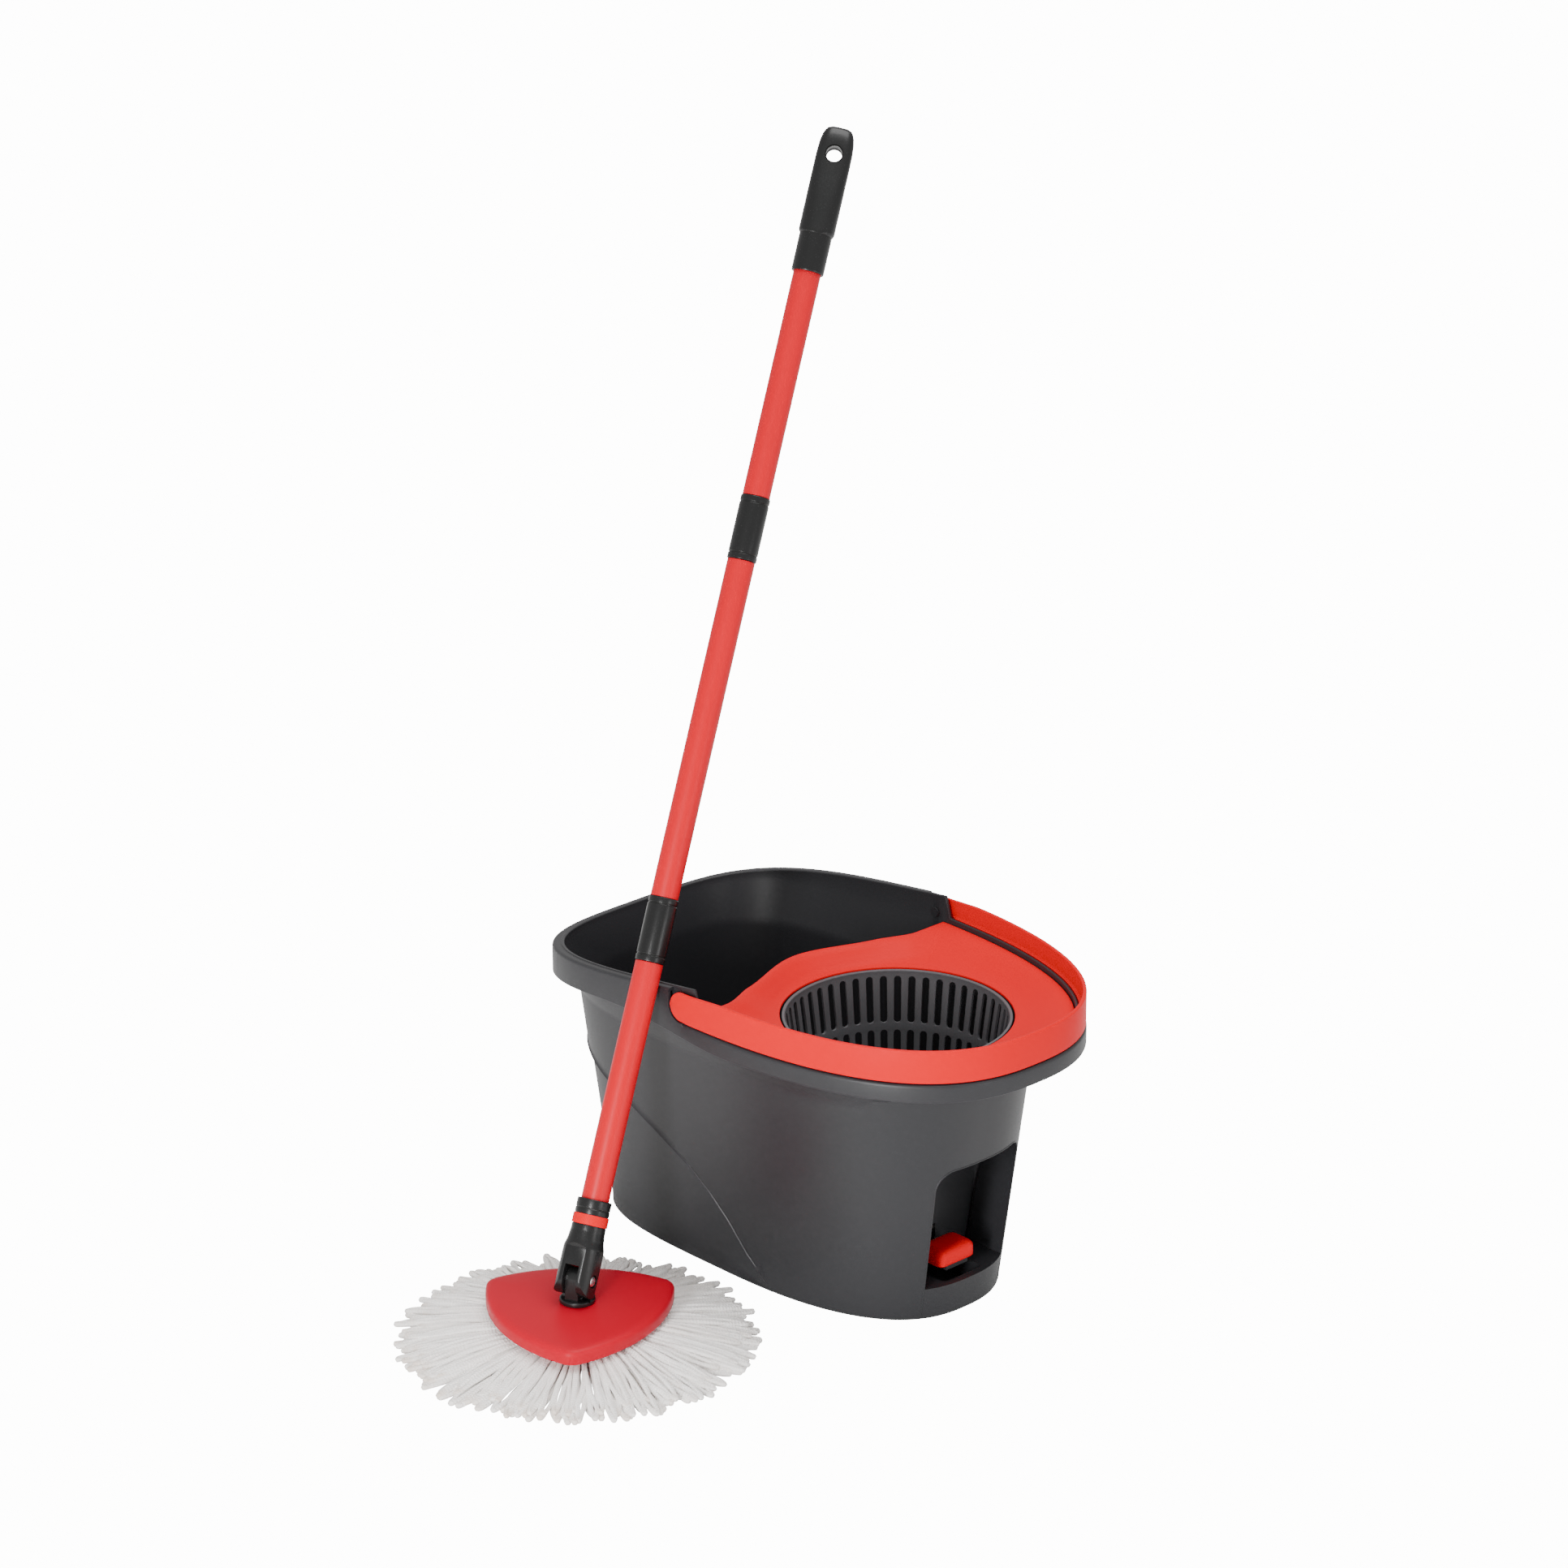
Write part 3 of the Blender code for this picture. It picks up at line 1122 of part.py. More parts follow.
def grip(root):
    """The end grip: a round sleeve that flattens to a paddle with a hanging hole."""
    bore = TUBE_R + GAP
    steps = 20

    def ring(s, rx, ry, square):
        points = []
        for i in range(steps):
            turn = 2 * math.pi * i / steps + GRIP_TURN
            local = turn - GRIP_TURN
            c = math.cos(local)
            n = math.sin(local)
            power = 2.0 / square
            a = rx * math.copysign(abs(c) ** power, c)
            b = ry * math.copysign(abs(n) ** power, n)
            points.append((a * math.cos(GRIP_TURN) - b * math.sin(GRIP_TURN),
                           a * math.sin(GRIP_TURN) + b * math.cos(GRIP_TURN), s))
        return points

    rings = [ring(GRIP_START, 12.9 * MM, 12.9 * MM, 2.0), ring(GRIP_STEP, 13.0 * MM, 13.0 * MM, 2.0),
             ring(GRIP_STEP + 0.002, GRIP_R, 13.2 * MM, 2.2), ring(0.870, GRIP_R, 11.0 * MM, 2.6),
             ring(0.895, GRIP_R, 8.5 * MM, 3.0), ring(0.912, 13.8 * MM, 7.8 * MM, 3.0),
             ring(0.920, 12.0 * MM, 6.8 * MM, 3.0), ring(GRIP_END, 9.0 * MM, 5.0 * MM, 2.6)]
    body = link("grip", tunnel(rings), black(), root)
    hole = rod(6.5 * MM, -0.02, 0.02, 24, (0.0, 0.0, 0.0), "Y")
    hole.transform(Matrix.Translation((0.0, 0.0, GRIP_HOLE - 0.006)) @ Matrix.Rotation(GRIP_TURN, 4, "Z"))
    cut(body, [at_root(root, rod(bore, GRIP_START - 0.01, 0.856, 24)), at_root(root, hole)])


def mop():
    pin_turn = LEAN_AZIMUTH - math.pi / 2
    head_root = empty("head_spin_axis", (HEAD_X, HEAD_Y, 0.0), (0.0, 0.0, 0.0))
    base_root = empty("swivel_axis", (HEAD_X, HEAD_Y, 0.0), (0.0, 0.0, pin_turn))
    handle_root = empty("handle_axis", (HEAD_X, HEAD_Y, JOINT_Z), (-LEAN, 0.0, pin_turn))
    bpy.context.view_layer.update()
    mop_head(head_root)
    swivel_base(base_root)
    fork_socket(handle_root)
    tube("tube_lower", 0.0345, LOWER_BARREL[0] - GAP, handle_root)
    connector("connector_lower", LOWER_BARREL[0], LOWER_BARREL[1], handle_root)
    tube("tube_middle", LOWER_BARREL[1] + GAP, UPPER_BARREL[0] - GAP, handle_root)
    connector("connector_upper", UPPER_BARREL[0], UPPER_BARREL[1], handle_root)
    tube("tube_upper", UPPER_BARREL[1] + GAP, 0.8555, handle_root)
    grip(handle_root)


def main():
    clear_scene()
    bucket_shell()
    wringer_deck()
    basket()
    clutch()
    basket_fixings()
    carry_handle()
    gear_plate()
    drive_rack()
    step_gear()
    drive_shaft()
    base_cover()
    pedal()
    mop()


if __name__ == "__main__":
    main()
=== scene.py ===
"""Spin mop with a pedal-driven wringer bucket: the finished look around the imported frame.

Lengths are metres, +Z is up and the floor is z = 0.  +X runs along the bucket towards the
wringer, and the mop stands on the -Y side.
"""

from __future__ import annotations

import json
import logging
import math
from dataclasses import dataclass
from enum import Enum
from typing import Any, Callable, Sequence

import bmesh
import bpy
import numpy as np
from mathutils import Euler, Matrix, Vector

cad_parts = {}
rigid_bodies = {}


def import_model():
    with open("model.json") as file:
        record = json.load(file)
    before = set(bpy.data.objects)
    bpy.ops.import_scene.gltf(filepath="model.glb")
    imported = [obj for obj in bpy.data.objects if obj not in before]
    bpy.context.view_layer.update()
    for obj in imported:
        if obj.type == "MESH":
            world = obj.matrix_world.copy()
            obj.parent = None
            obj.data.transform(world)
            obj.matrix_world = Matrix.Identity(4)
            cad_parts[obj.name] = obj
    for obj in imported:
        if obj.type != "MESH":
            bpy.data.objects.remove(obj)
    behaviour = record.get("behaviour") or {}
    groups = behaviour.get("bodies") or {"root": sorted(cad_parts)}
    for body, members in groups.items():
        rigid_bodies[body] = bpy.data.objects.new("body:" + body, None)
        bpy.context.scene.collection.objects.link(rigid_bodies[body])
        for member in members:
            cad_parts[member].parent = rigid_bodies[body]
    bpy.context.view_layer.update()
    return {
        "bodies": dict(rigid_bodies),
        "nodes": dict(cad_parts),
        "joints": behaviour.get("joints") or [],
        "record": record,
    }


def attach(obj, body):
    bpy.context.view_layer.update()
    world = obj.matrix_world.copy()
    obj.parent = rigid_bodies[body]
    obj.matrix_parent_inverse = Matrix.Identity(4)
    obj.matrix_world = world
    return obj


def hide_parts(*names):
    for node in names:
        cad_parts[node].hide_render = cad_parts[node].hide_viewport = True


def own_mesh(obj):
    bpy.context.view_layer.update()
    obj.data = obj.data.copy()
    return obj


LOG = logging.getLogger("spin_mop")
MM = 0.001
FULL_TURN = 2 * math.pi
SHARP = math.radians(38.0)
PHASE = 6.3
MIX_FIRST, MIX_SECOND, MIX_RESULT = 6, 7, 2

Array = np.ndarray
Triple = tuple[float, float, float]


# ------------------------------------------------------------------ shader kit


class Wire:
    """A number that varies over a surface; arithmetic on it adds Math nodes."""

    def __init__(self, paint: Paint, socket: bpy.types.NodeSocket) -> None:
        """Keep the socket and the paint that it belongs to.

        Args:
            paint: the material that holds the node.
            socket: the node's output.
        """
        self.paint = paint
        self.socket = socket

    def math(self, operation: str, first: Any, second: Any = 0.0) -> Wire:
        """Add one Math node and give its result."""
        node = self.paint.node("ShaderNodeMath", {"operation": operation}, {0: first, 1: second})
        return Wire(self.paint, node.outputs[0])

    def __add__(self, other: Any) -> Wire:
        """Sum."""
        return self.math("ADD", self, other)

    def __radd__(self, other: Any) -> Wire:
        """Sum, reflected."""
        return self.math("ADD", other, self)

    def __sub__(self, other: Any) -> Wire:
        """Difference."""
        return self.math("SUBTRACT", self, other)

    def __rsub__(self, other: Any) -> Wire:
        """Difference, reflected."""
        return self.math("SUBTRACT", other, self)

    def __mul__(self, other: Any) -> Wire:
        """Product."""
        return self.math("MULTIPLY", self, other)

    def __rmul__(self, other: Any) -> Wire:
        """Product, reflected."""
        return self.math("MULTIPLY", other, self)

    def sine(self) -> Wire:
        """Sine of the value in radians."""
        return self.math("SINE", self)

    def above(self, start: float, end: float) -> Wire:
        """Turn the value into a soft mask.

        Args:
            start: the value up to which the mask is 0.
            end: the value from which the mask is 1.

        Returns:
            The mask, with a smooth step between the two.
        """
        node = self.paint.node(
            "ShaderNodeMapRange",
            {"interpolation_type": "SMOOTHSTEP"},
            {"Value": self, "From Min": start, "From Max": end, "To Min": 0.0, "To Max": 1.0},
        )
        return Wire(self.paint, node.outputs["Result"])


class Paint:
    """The node tree of one material and the ways that its patterns are made."""

    def __init__(self, name: str) -> None:
        """Start a material with only its Principled shader.

        Args:
            name: the material's name.
        """
        self.material = bpy.data.materials.new(name)
        self.material.use_nodes = True
        self.tree = self.material.node_tree
        self.shader = self.tree.nodes["Principled BSDF"]

    def node(self, kind: str, settings: dict[str, Any], inputs: dict[Any, Any]) -> bpy.types.Node:
        """Add a node.

        Args:
            kind: the node's type.
            settings: its attributes, set first.
            inputs: a value, a Wire or a socket for each named or numbered input.

        Returns:
            The new node.
        """
        node = self.tree.nodes.new(kind)
        for key, value in settings.items():
            setattr(node, key, value)
        for key, value in inputs.items():
            self.feed(node.inputs[key], value)
        return node

    def feed(self, socket: bpy.types.NodeSocket, value: Any) -> None:
        """Give a socket a plain value, or a link.

        Args:
            socket: the input.
            value: a number, a colour, a vector, a Wire or another node's socket.
        """
        if isinstance(value, Wire):
            value = value.socket
        if isinstance(value, bpy.types.NodeSocket):
            self.tree.links.new(value, socket)
        else:
            socket.default_value = value

    def place(self, scale: Triple = (1.0, 1.0, 1.0), turn: Triple = (0.0, 0.0, 0.0)) -> bpy.types.NodeSocket:
        """Give Object coordinates, turned and scaled.

        Args:
            scale: how many times finer the pattern is along each axis.
            turn: angles about X, Y and Z.

        Returns:
            The vector socket.
        """
        source = self.node("ShaderNodeTexCoord", {}, {})
        mapping = self.node(
            "ShaderNodeMapping", {}, {"Vector": source.outputs["Object"], "Rotation": turn, "Scale": scale}
        )
        return mapping.outputs["Vector"]

    def noise(self, scale: float, detail: float = 3.0, rough: float = 0.5,
              where: bpy.types.NodeSocket | None = None) -> Wire:
        """Give cloudy noise.

        Args:
            scale: features to the metre.
            detail: layers of finer noise.
            rough: how strong the finer layers are.
            where: the coordinates, which are Object coordinates if none are given.

        Returns:
            The noise from 0 to 1.
        """
        node = self.node(
            "ShaderNodeTexNoise",
            {},
            {"Vector": where or self.place(), "Scale": scale, "Detail": detail, "Roughness": rough},
        )
        return Wire(self, node.outputs[0])

    def blend(self, share: Wire, first: Any, second: Any) -> bpy.types.NodeSocket:
        """Mix two colours.

        Args:
            share: 0 for the first colour, 1 for the second.
            first: a colour or a colour socket.
            second: a colour or a colour socket.

        Returns:
            The colour socket.
        """
        def rgba(colour: Any) -> Any:
            """Give a plain colour its alpha, and leave a socket alone."""
            return colour if isinstance(colour, bpy.types.NodeSocket) else (*colour, 1.0)

        node = self.node(
            "ShaderNodeMix",
            {"data_type": "RGBA", "clamp_factor": True},
            {0: share, MIX_FIRST: rgba(first), MIX_SECOND: rgba(second)},
        )
        return node.outputs[MIX_RESULT]

    def attribute(self, name: str) -> Wire:
        """Give a number that the mesh carries at each of its points."""
        node = self.node("ShaderNodeAttribute", {"attribute_name": name}, {})
        return Wire(self, node.outputs["Fac"])

    def bump(self, height: Wire, depth: float) -> None:
        """Raise the surface by a height pattern, `depth` metres deep."""
        node = self.node("ShaderNodeBump", {}, {"Height": height, "Distance": depth, "Strength": 1.0})
        self.feed(self.shader.inputs["Normal"], node.outputs["Normal"])

    def set(self, **values: Any) -> None:
        """Set the shader's own sockets; an underscore in a key stands for a space."""
        for key, value in values.items():
            self.feed(self.shader.inputs[key.replace("_", " ")], value)


@dataclass(frozen=True)
class MouldedPlastic:
    """Injection-moulded plastic: fine grain, slow colour drift and rubbed patches."""

    name: str
    colour: Triple
    worn: Triple
    roughness: float
    grain: float = 0.03 * MM
    grain_scale: float = 1500.0
    gloss: float = 0.28

    def make(self) -> bpy.types.Material:
        """Build the material.

        Returns:
            The new material.
        """
        paint = Paint(self.name)
        drift = paint.noise(9.0, 2.0)
        streaks = paint.noise(14.0, 4.0, 0.6, paint.place(scale=(1.0, 1.0, 0.25)))
        fine = paint.noise(self.grain_scale, 2.0, 0.5)
        scuffs = paint.noise(55.0, 5.0, 0.7, paint.place(scale=(1.0, 1.0, 0.35))).above(0.60, 0.78)
        tint = paint.blend(drift * 0.55 + scuffs * 0.22, self.colour, self.worn)
        paint.set(
            Base_Color=tint,
            Roughness=self.roughness - 0.05 + streaks * 0.08 + scuffs * 0.07,
            Specular_IOR_Level=self.gloss,
        )
        paint.bump(fine + scuffs * 0.25, self.grain)
        return paint.material


@dataclass(frozen=True)
class CoatedTube:
    """Steel tube in a glossy coat: orange-peel skin and fine marks that run along the tube."""

    name: str
    colour: Triple
    worn: Triple
    turn: Triple

    def make(self) -> bpy.types.Material:
        """Build the material.

        Returns:
            The new material.
        """
        paint = Paint(self.name)
        along = paint.place(scale=(1.0, 1.0, 0.02), turn=self.turn)
        peel = paint.noise(420.0, 1.0, 0.4)
        marks = paint.noise(900.0, 3.0, 0.6, along).above(0.62, 0.74)
        drift = paint.noise(16.0, 2.0)
        paint.set(
            Base_Color=paint.blend(drift * 0.5 + marks * 0.12, self.colour, self.worn),
            Roughness=0.36 + drift * 0.06 + marks * 0.06,
            Specular_IOR_Level=0.20,
        )
        paint.bump(peel - marks * 0.15, 0.025 * MM)
        return paint.material


@dataclass(frozen=True)
class WorkedMetal:
    """Turned or drawn metal: fine tool lines and a little dulling."""

    name: str
    colour: Triple
    dull: Triple
    roughness: float

    def make(self) -> bpy.types.Material:
        """Build the material.

        Returns:
            The new material.
        """
        paint = Paint(self.name)
        lines = paint.noise(2600.0, 2.0, 0.5, paint.place(scale=(0.08, 1.0, 1.0)))
        patches = paint.noise(180.0, 4.0, 0.6)
        paint.set(
            Base_Color=paint.blend(patches.above(0.45, 0.75), self.colour, self.dull),
            Metallic=1.0,
            Roughness=self.roughness + patches * 0.14 + lines * 0.05,
        )
        paint.bump(lines, 0.006 * MM)
        return paint.material


@dataclass(frozen=True)
class LoopYarn:
    """Twisted microfibre yarn; the strand's own length and shade are carried by the mesh."""

    name: str
    light: Triple
    shade: Triple
    root: Triple
    ply: float = 2.6 * MM

    def make(self) -> bpy.types.Material:
        """Build the material.

        Returns:
            The new material.
        """
        paint = Paint(self.name)
        along = paint.attribute("along")
        tone = paint.attribute("tone")
        end = paint.attribute("end")
        fuzz = paint.noise(1100.0, 4.0, 0.7)
        around_strand = paint.attribute("around")
        twist = (along * (FULL_TURN / self.ply) + around_strand * 6.283).sine() * 0.5 + 0.5
        body = paint.blend(tone * 0.6 + fuzz * 0.35, self.light, self.shade)
        paint.set(
            Base_Color=paint.blend(end * 0.7, body, self.root),
            Roughness=0.86 + fuzz * 0.12,
            Sheen_Weight=0.25,
            Sheen_Roughness=0.5,
        )
        paint.bump(twist * 0.6 + fuzz * 0.7, 0.55 * MM)
        return paint.material


class Look(Enum):
    """Every finish on the object; the value is the record's slot."""

    CHARCOAL = "charcoal"
    BLACK = "black"
    RED = "red"
    DEEP_RED = "deep_red"
    RED_PAINT = "red_paint"
    GREY = "grey"
    ACETAL = "acetal"
    STEEL = "steel"
    BRONZE = "bronze"
    RUBBER = "rubber"
    YARN = "yarn"


class Finishes:
    """Makes each finish once and hands it out."""

    def __init__(self) -> None:
        """Build all materials."""
        lean = (LEAN, 0.0, -PIN_TURN)
        recipes: dict[Look, Any] = {
            Look.CHARCOAL: MouldedPlastic("charcoal_moulded", (0.018, 0.018, 0.0205), (0.024, 0.024, 0.0265),
                                          0.42, gloss=0.34),
            Look.BLACK: MouldedPlastic("black_moulded", (0.006, 0.006, 0.0062), (0.010, 0.010, 0.0102),
                                       0.30, 0.02 * MM, 1800.0, 0.35),
            Look.RED: MouldedPlastic("red_moulded", (0.66, 0.0006, 0.005), (0.72, 0.001, 0.007),
                                     0.44, 0.012 * MM, 1300.0, 0.07),
            Look.DEEP_RED: MouldedPlastic("deep_red_moulded", (0.42, 0.0006, 0.014), (0.47, 0.001, 0.018),
                                          0.38, 0.012 * MM, 1300.0, 0.10),
            Look.RED_PAINT: CoatedTube("red_tube_coat", (0.54, 0.0006, 0.009), (0.59, 0.001, 0.012), lean),
            Look.GREY: MouldedPlastic("grey_moulded", (0.085, 0.086, 0.092), (0.110, 0.111, 0.117), 0.42),
            Look.ACETAL: MouldedPlastic("white_acetal", (0.74, 0.72, 0.66), (0.80, 0.79, 0.75), 0.36),
            Look.STEEL: WorkedMetal("bright_steel", (0.66, 0.66, 0.67), (0.50, 0.50, 0.51), 0.20),
            Look.BRONZE: WorkedMetal("sintered_bronze", (0.55, 0.38, 0.18), (0.36, 0.24, 0.12), 0.34),
            Look.RUBBER: MouldedPlastic("seal_rubber", (0.018, 0.018, 0.018), (0.03, 0.03, 0.03), 0.62),
            Look.YARN: LoopYarn("loop_yarn", (1.0, 0.985, 0.965), (0.86, 0.80, 0.75), (0.66, 0.50, 0.37)),
        }
        self.made = {look: recipe.make() for look, recipe in recipes.items()}

    def dress(self, piece: bpy.types.Object, look: Look, body: str, *nodes: str) -> bpy.types.Object:
        """Give a new piece its finish and its body, and hide the CAD nodes that it stands for.

        Args:
            piece: the finished object.
            look: its finish.
            body: the body that it moves with.
            nodes: the CAD nodes that it replaces, if any.

        Returns:
            The same piece.
        """
        mesh = piece.data
        mesh.materials.clear()
        mesh.materials.append(self.made[look])
        mesh.shade_smooth()
        mesh.set_sharp_from_angle(angle=SHARP)
        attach(piece, body)
        if nodes:
            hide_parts(*nodes)
        LOG.info("%s rides on %s with %d faces", piece.name, body, len(mesh.polygons))
        return piece

    def repaint(self, frame: dict[str, Any], look: Look, *nodes: str) -> None:
        """Give CAD nodes that stay a finish in their own slots.

        Args:
            frame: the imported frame.
            look: the finish.
            nodes: the names of the nodes.
        """
        for node in nodes:
            for slot in frame["nodes"][node].material_slots:
                slot.material = self.made[look]


# ------------------------------------------------------------------ surface kit


def smoothstep(value: Array | float) -> Array:
    """Give 0 below 0, 1 above 1, and 3v^2 - 2v^3 between."""
    v = np.clip(value, 0.0, 1.0)
    return v * v * (3.0 - 2.0 * v)


def fillet(corners: Sequence[Array], radii: Sequence[float], steps: int = 5, closed: bool = False) -> Array:
    """Round the corners of a path.

    Each corner becomes a parabola that starts and ends `radius` away from it along its two sides.

    Args:
        corners: points, each an array whose last axis is the coordinate.
        radii: one radius for each corner; 0 keeps it sharp.
        steps: points on each rounded corner.
        closed: whether the last corner joins the first.

    Returns:
        The points of the rounded path, stacked on a new first axis.
    """
    rows = []
    count = len(corners)
    for i, (corner, radius) in enumerate(zip(corners, radii)):
        if radius <= 0.0 or (not closed and i in (0, count - 1)):
            rows.append(corner[None])
            continue
        back = corners[i - 1] - corner
        ahead = corners[(i + 1) % count] - corner
        back_length = np.linalg.norm(back, axis=-1, keepdims=True)
        ahead_length = np.linalg.norm(ahead, axis=-1, keepdims=True)
        reach = np.minimum(radius, 0.48 * np.minimum(back_length, ahead_length))
        start = corner + back / back_length * reach
        end = corner + ahead / ahead_length * reach
        t = np.linspace(0.0, 1.0, steps).reshape(-1, *([1] * corner.ndim))
        rows.append((1 - t) ** 2 * start + 2 * t * (1 - t) * corner + t**2 * end)
    return np.concatenate(rows)


def circle(steps: int) -> Array:
    """Give evenly spaced angles of one full turn."""
    return np.linspace(0.0, FULL_TURN, steps, endpoint=False)


def skin(name: str, points: Array, wrap_rows: bool = False, wrap_cols: bool = True,
         caps: bool = True) -> bpy.types.Object:
    """Make a grid of points into a mesh of quads.

    Args:
        name: the piece's name.
        points: rows x columns x 3.
        wrap_rows: join the last row to the first.
        wrap_cols: join the last column to the first.
        caps: close the first and last rows with a face.

    Returns:
        The linked object, merged at its poles and facing out.
    """
    rows, cols = points.shape[:2]
    index = np.arange(rows * cols).reshape(rows, cols)
    low = index if wrap_rows else index[:-1]
    high = np.roll(index, -1, 0) if wrap_rows else index[1:]
    if wrap_cols:
        corners = (low, np.roll(low, -1, 1), np.roll(high, -1, 1), high)
    else:
        corners = (low[:, :-1], low[:, 1:], high[:, 1:], high[:, :-1])
    faces = np.stack(corners, -1).reshape(-1, 4).tolist()
    if caps:
        faces += [index[0][::-1].tolist(), index[-1].tolist()]
    return solid(name, points.reshape(-1, 3), faces)


def link(name: str, mesh: bpy.types.Mesh) -> bpy.types.Object:
    """Put a mesh into the scene as an object at the origin.

    Args:
        name: the object's name.
        mesh: its mesh.

    Returns:
        The object.
    """
    piece = bpy.data.objects.new(name, mesh)
    bpy.context.scene.collection.objects.link(piece)
    return piece


def solid(name: str, points: Array, faces: list[list[int]], merge: float = 1e-6) -> bpy.types.Object:
    """Make points and faces into a linked object that faces out.

    Args:
        name: the piece's name.
        points: points x 3.
        faces: the points of each face.
        merge: points nearer than this become one.

    Returns:
        The object.
    """
    mesh = bpy.data.meshes.new(name)
    mesh.from_pydata(points.tolist(), [], faces)
    bm = bmesh.new()
    bm.from_mesh(mesh)
    bmesh.ops.remove_doubles(bm, verts=bm.verts, dist=merge)
    bmesh.ops.recalc_face_normals(bm, faces=bm.faces)
    bm.to_mesh(mesh)
    bm.free()
    return link(name, mesh)


def turned(name: str, corners: Sequence[tuple[float, float]], radii: Sequence[float], steps: int = 64,
           closed: bool = False) -> bpy.types.Object:
    """Turn a (radius, height) outline about Z: point = (r cos a, r sin a, h).

    Args:
        name: the piece's name.
        corners: the outline's corners; it is open only where it starts and ends on the axis.
        radii: the fillet of each corner.
        steps: points round the axis.
        closed: whether the last corner joins the first with a fillet.

    Returns:
        The object.
    """
    profile = fillet([np.array(c, float) for c in corners], radii, closed=closed)
    turn = circle(steps)
    radius, height = profile[:, 0, None], profile[:, 1, None]
    points = np.stack([radius * np.cos(turn), radius * np.sin(turn), height + 0.0 * turn], -1)
    return skin(name, points, wrap_rows=bool(profile[0, 0] > 0.0), caps=False)


def prism(name: str, outline: Array, low: float, high: float, axis: str = "Z") -> bpy.types.Object:
    """Carry an outline straight along an axis.

    Args:
        name: the piece's name.
        outline: points x 2, in the order of the two other axes.
        low: where it starts on the axis.
        high: where it ends.
        axis: "X", "Y" or "Z".

    Returns:
        The object.
    """
    a, b = outline[:, 0], outline[:, 1]
    rows = []
    for h in (low, high):
        flat = np.full_like(a, h)
        rows.append(np.stack({"Z": (a, b, flat), "Y": (a, flat, b), "X": (flat, a, b)}[axis], -1))
    return skin(name, np.stack(rows))


def brick(low: Sequence[float], high: Sequence[float]) -> bpy.types.Object:
    """Make a box between two corners, as a cutter."""
    outline = np.array([(low[0], low[1]), (high[0], low[1]), (high[0], high[1]), (low[0], high[1])])
    return prism("cutter", outline, low[2], high[2])


def drill(radius: float, low: float, high: float, centre: Sequence[float], axis: str = "Z",
          steps: int = 48) -> bpy.types.Object:
    """Make a round cutter.

    Args:
        radius: its radius.
        low: where it starts on its axis.
        high: where it ends.
        centre: a point on its axis.
        axis: "X", "Y" or "Z".
        steps: points round it.

    Returns:
        The cutter.
    """
    turn = circle(steps)
    first, second = {"Z": (0, 1), "Y": (0, 2), "X": (1, 2)}[axis]
    outline = np.stack([centre[first] + radius * np.cos(turn), centre[second] + radius * np.sin(turn)], -1)
    return prism("cutter", outline, low, high, axis)


def carve(piece: bpy.types.Object, *tools: bpy.types.Object, operation: str = "DIFFERENCE") -> bpy.types.Object:
    """Apply one exact Boolean for each tool, and drop the tools.

    Args:
        piece: what is cut.
        tools: what it is cut with.
        operation: "DIFFERENCE", "UNION" or "INTERSECT".

    Returns:
        The same piece.
    """
    for tool in tools:
        step = piece.modifiers.new("carve", "BOOLEAN")
        step.operation = operation
        step.solver = "EXACT"
        step.object = tool
        bake(piece)
        bpy.data.objects.remove(tool, do_unlink=True)
    return piece


def bake(piece: bpy.types.Object) -> None:
    """Apply the modifiers of a piece to its mesh.

    Args:
        piece: the object, which keeps its name and place.
    """
    bpy.context.view_layer.update()
    graph = bpy.context.evaluated_depsgraph_get()
    mesh = bpy.data.meshes.new_from_object(piece.evaluated_get(graph))
    piece.modifiers.clear()
    old = piece.data
    piece.data = mesh
    bpy.data.meshes.remove(old)


def soften(piece: bpy.types.Object, width: float, angle: float) -> None:
    """Round the sharp edges of a piece with an applied bevel.

    Args:
        piece: the object.
        width: how far the bevel reaches from the edge.
        angle: edges that turn by more degrees than this are rounded.
    """
    bm = bmesh.new()
    bm.from_mesh(piece.data)
    bmesh.ops.remove_doubles(bm, verts=bm.verts, dist=0.01 * MM)
    bmesh.ops.dissolve_limit(bm, angle_limit=math.radians(0.5), verts=bm.verts, edges=bm.edges)
    bm.to_mesh(piece.data)
    bm.free()
    step = piece.modifiers.new("soften", "BEVEL")
    step.width = width
    step.segments = 3
    step.limit_method = "ANGLE"
    step.angle_limit = math.radians(angle)
    step.use_clamp_overlap = True
    bake(piece)


def tube_along(path: Array, radius: Array | float, sides: int) -> tuple[Array, Array]:
    """Carry a circle along a path.

    The section's own axes are the path's sideways direction on the floor and the one square to it.

    Args:
        path: points x 3.
        radius: one radius, or one for each point.
        sides: points around the section.

    Returns:
        The tube's points (points x sides x 3) and the share of a turn of each side.
    """
    ahead = np.gradient(path, axis=0)
    ahead /= np.linalg.norm(ahead, axis=1, keepdims=True)
    up = np.array([0.0, 0.0, 1.0])
    side = np.cross(ahead, up)
    side /= np.maximum(np.linalg.norm(side, axis=1, keepdims=True), 1e-9)
    over = np.cross(side, ahead)
    share = np.arange(sides) / sides
    turn = FULL_TURN * share
    width = np.broadcast_to(np.asarray(radius, float), path.shape[:1])[:, None, None]
    ring = np.cos(turn)[None, :, None] * side[:, None] + np.sin(turn)[None, :, None] * over[:, None]
    return path[:, None] + width * ring, share


# ------------------------------------------------------------------ sizes shared by assemblies

SPIN_X = 0.0995
SPIN_AT = (SPIN_X, 0.0, 0.0)
PIVOT_X, PIVOT_Z = 0.006, 0.246
SPRING_X = 0.1215
HEAD_X, HEAD_Y = 0.0124, -0.2604
JOINT_Z = 0.055
LEAN = math.radians(28.75)
PIN_TURN = math.radians(19.0)
WALL = 2.5 * MM
GAP = 0.3 * MM


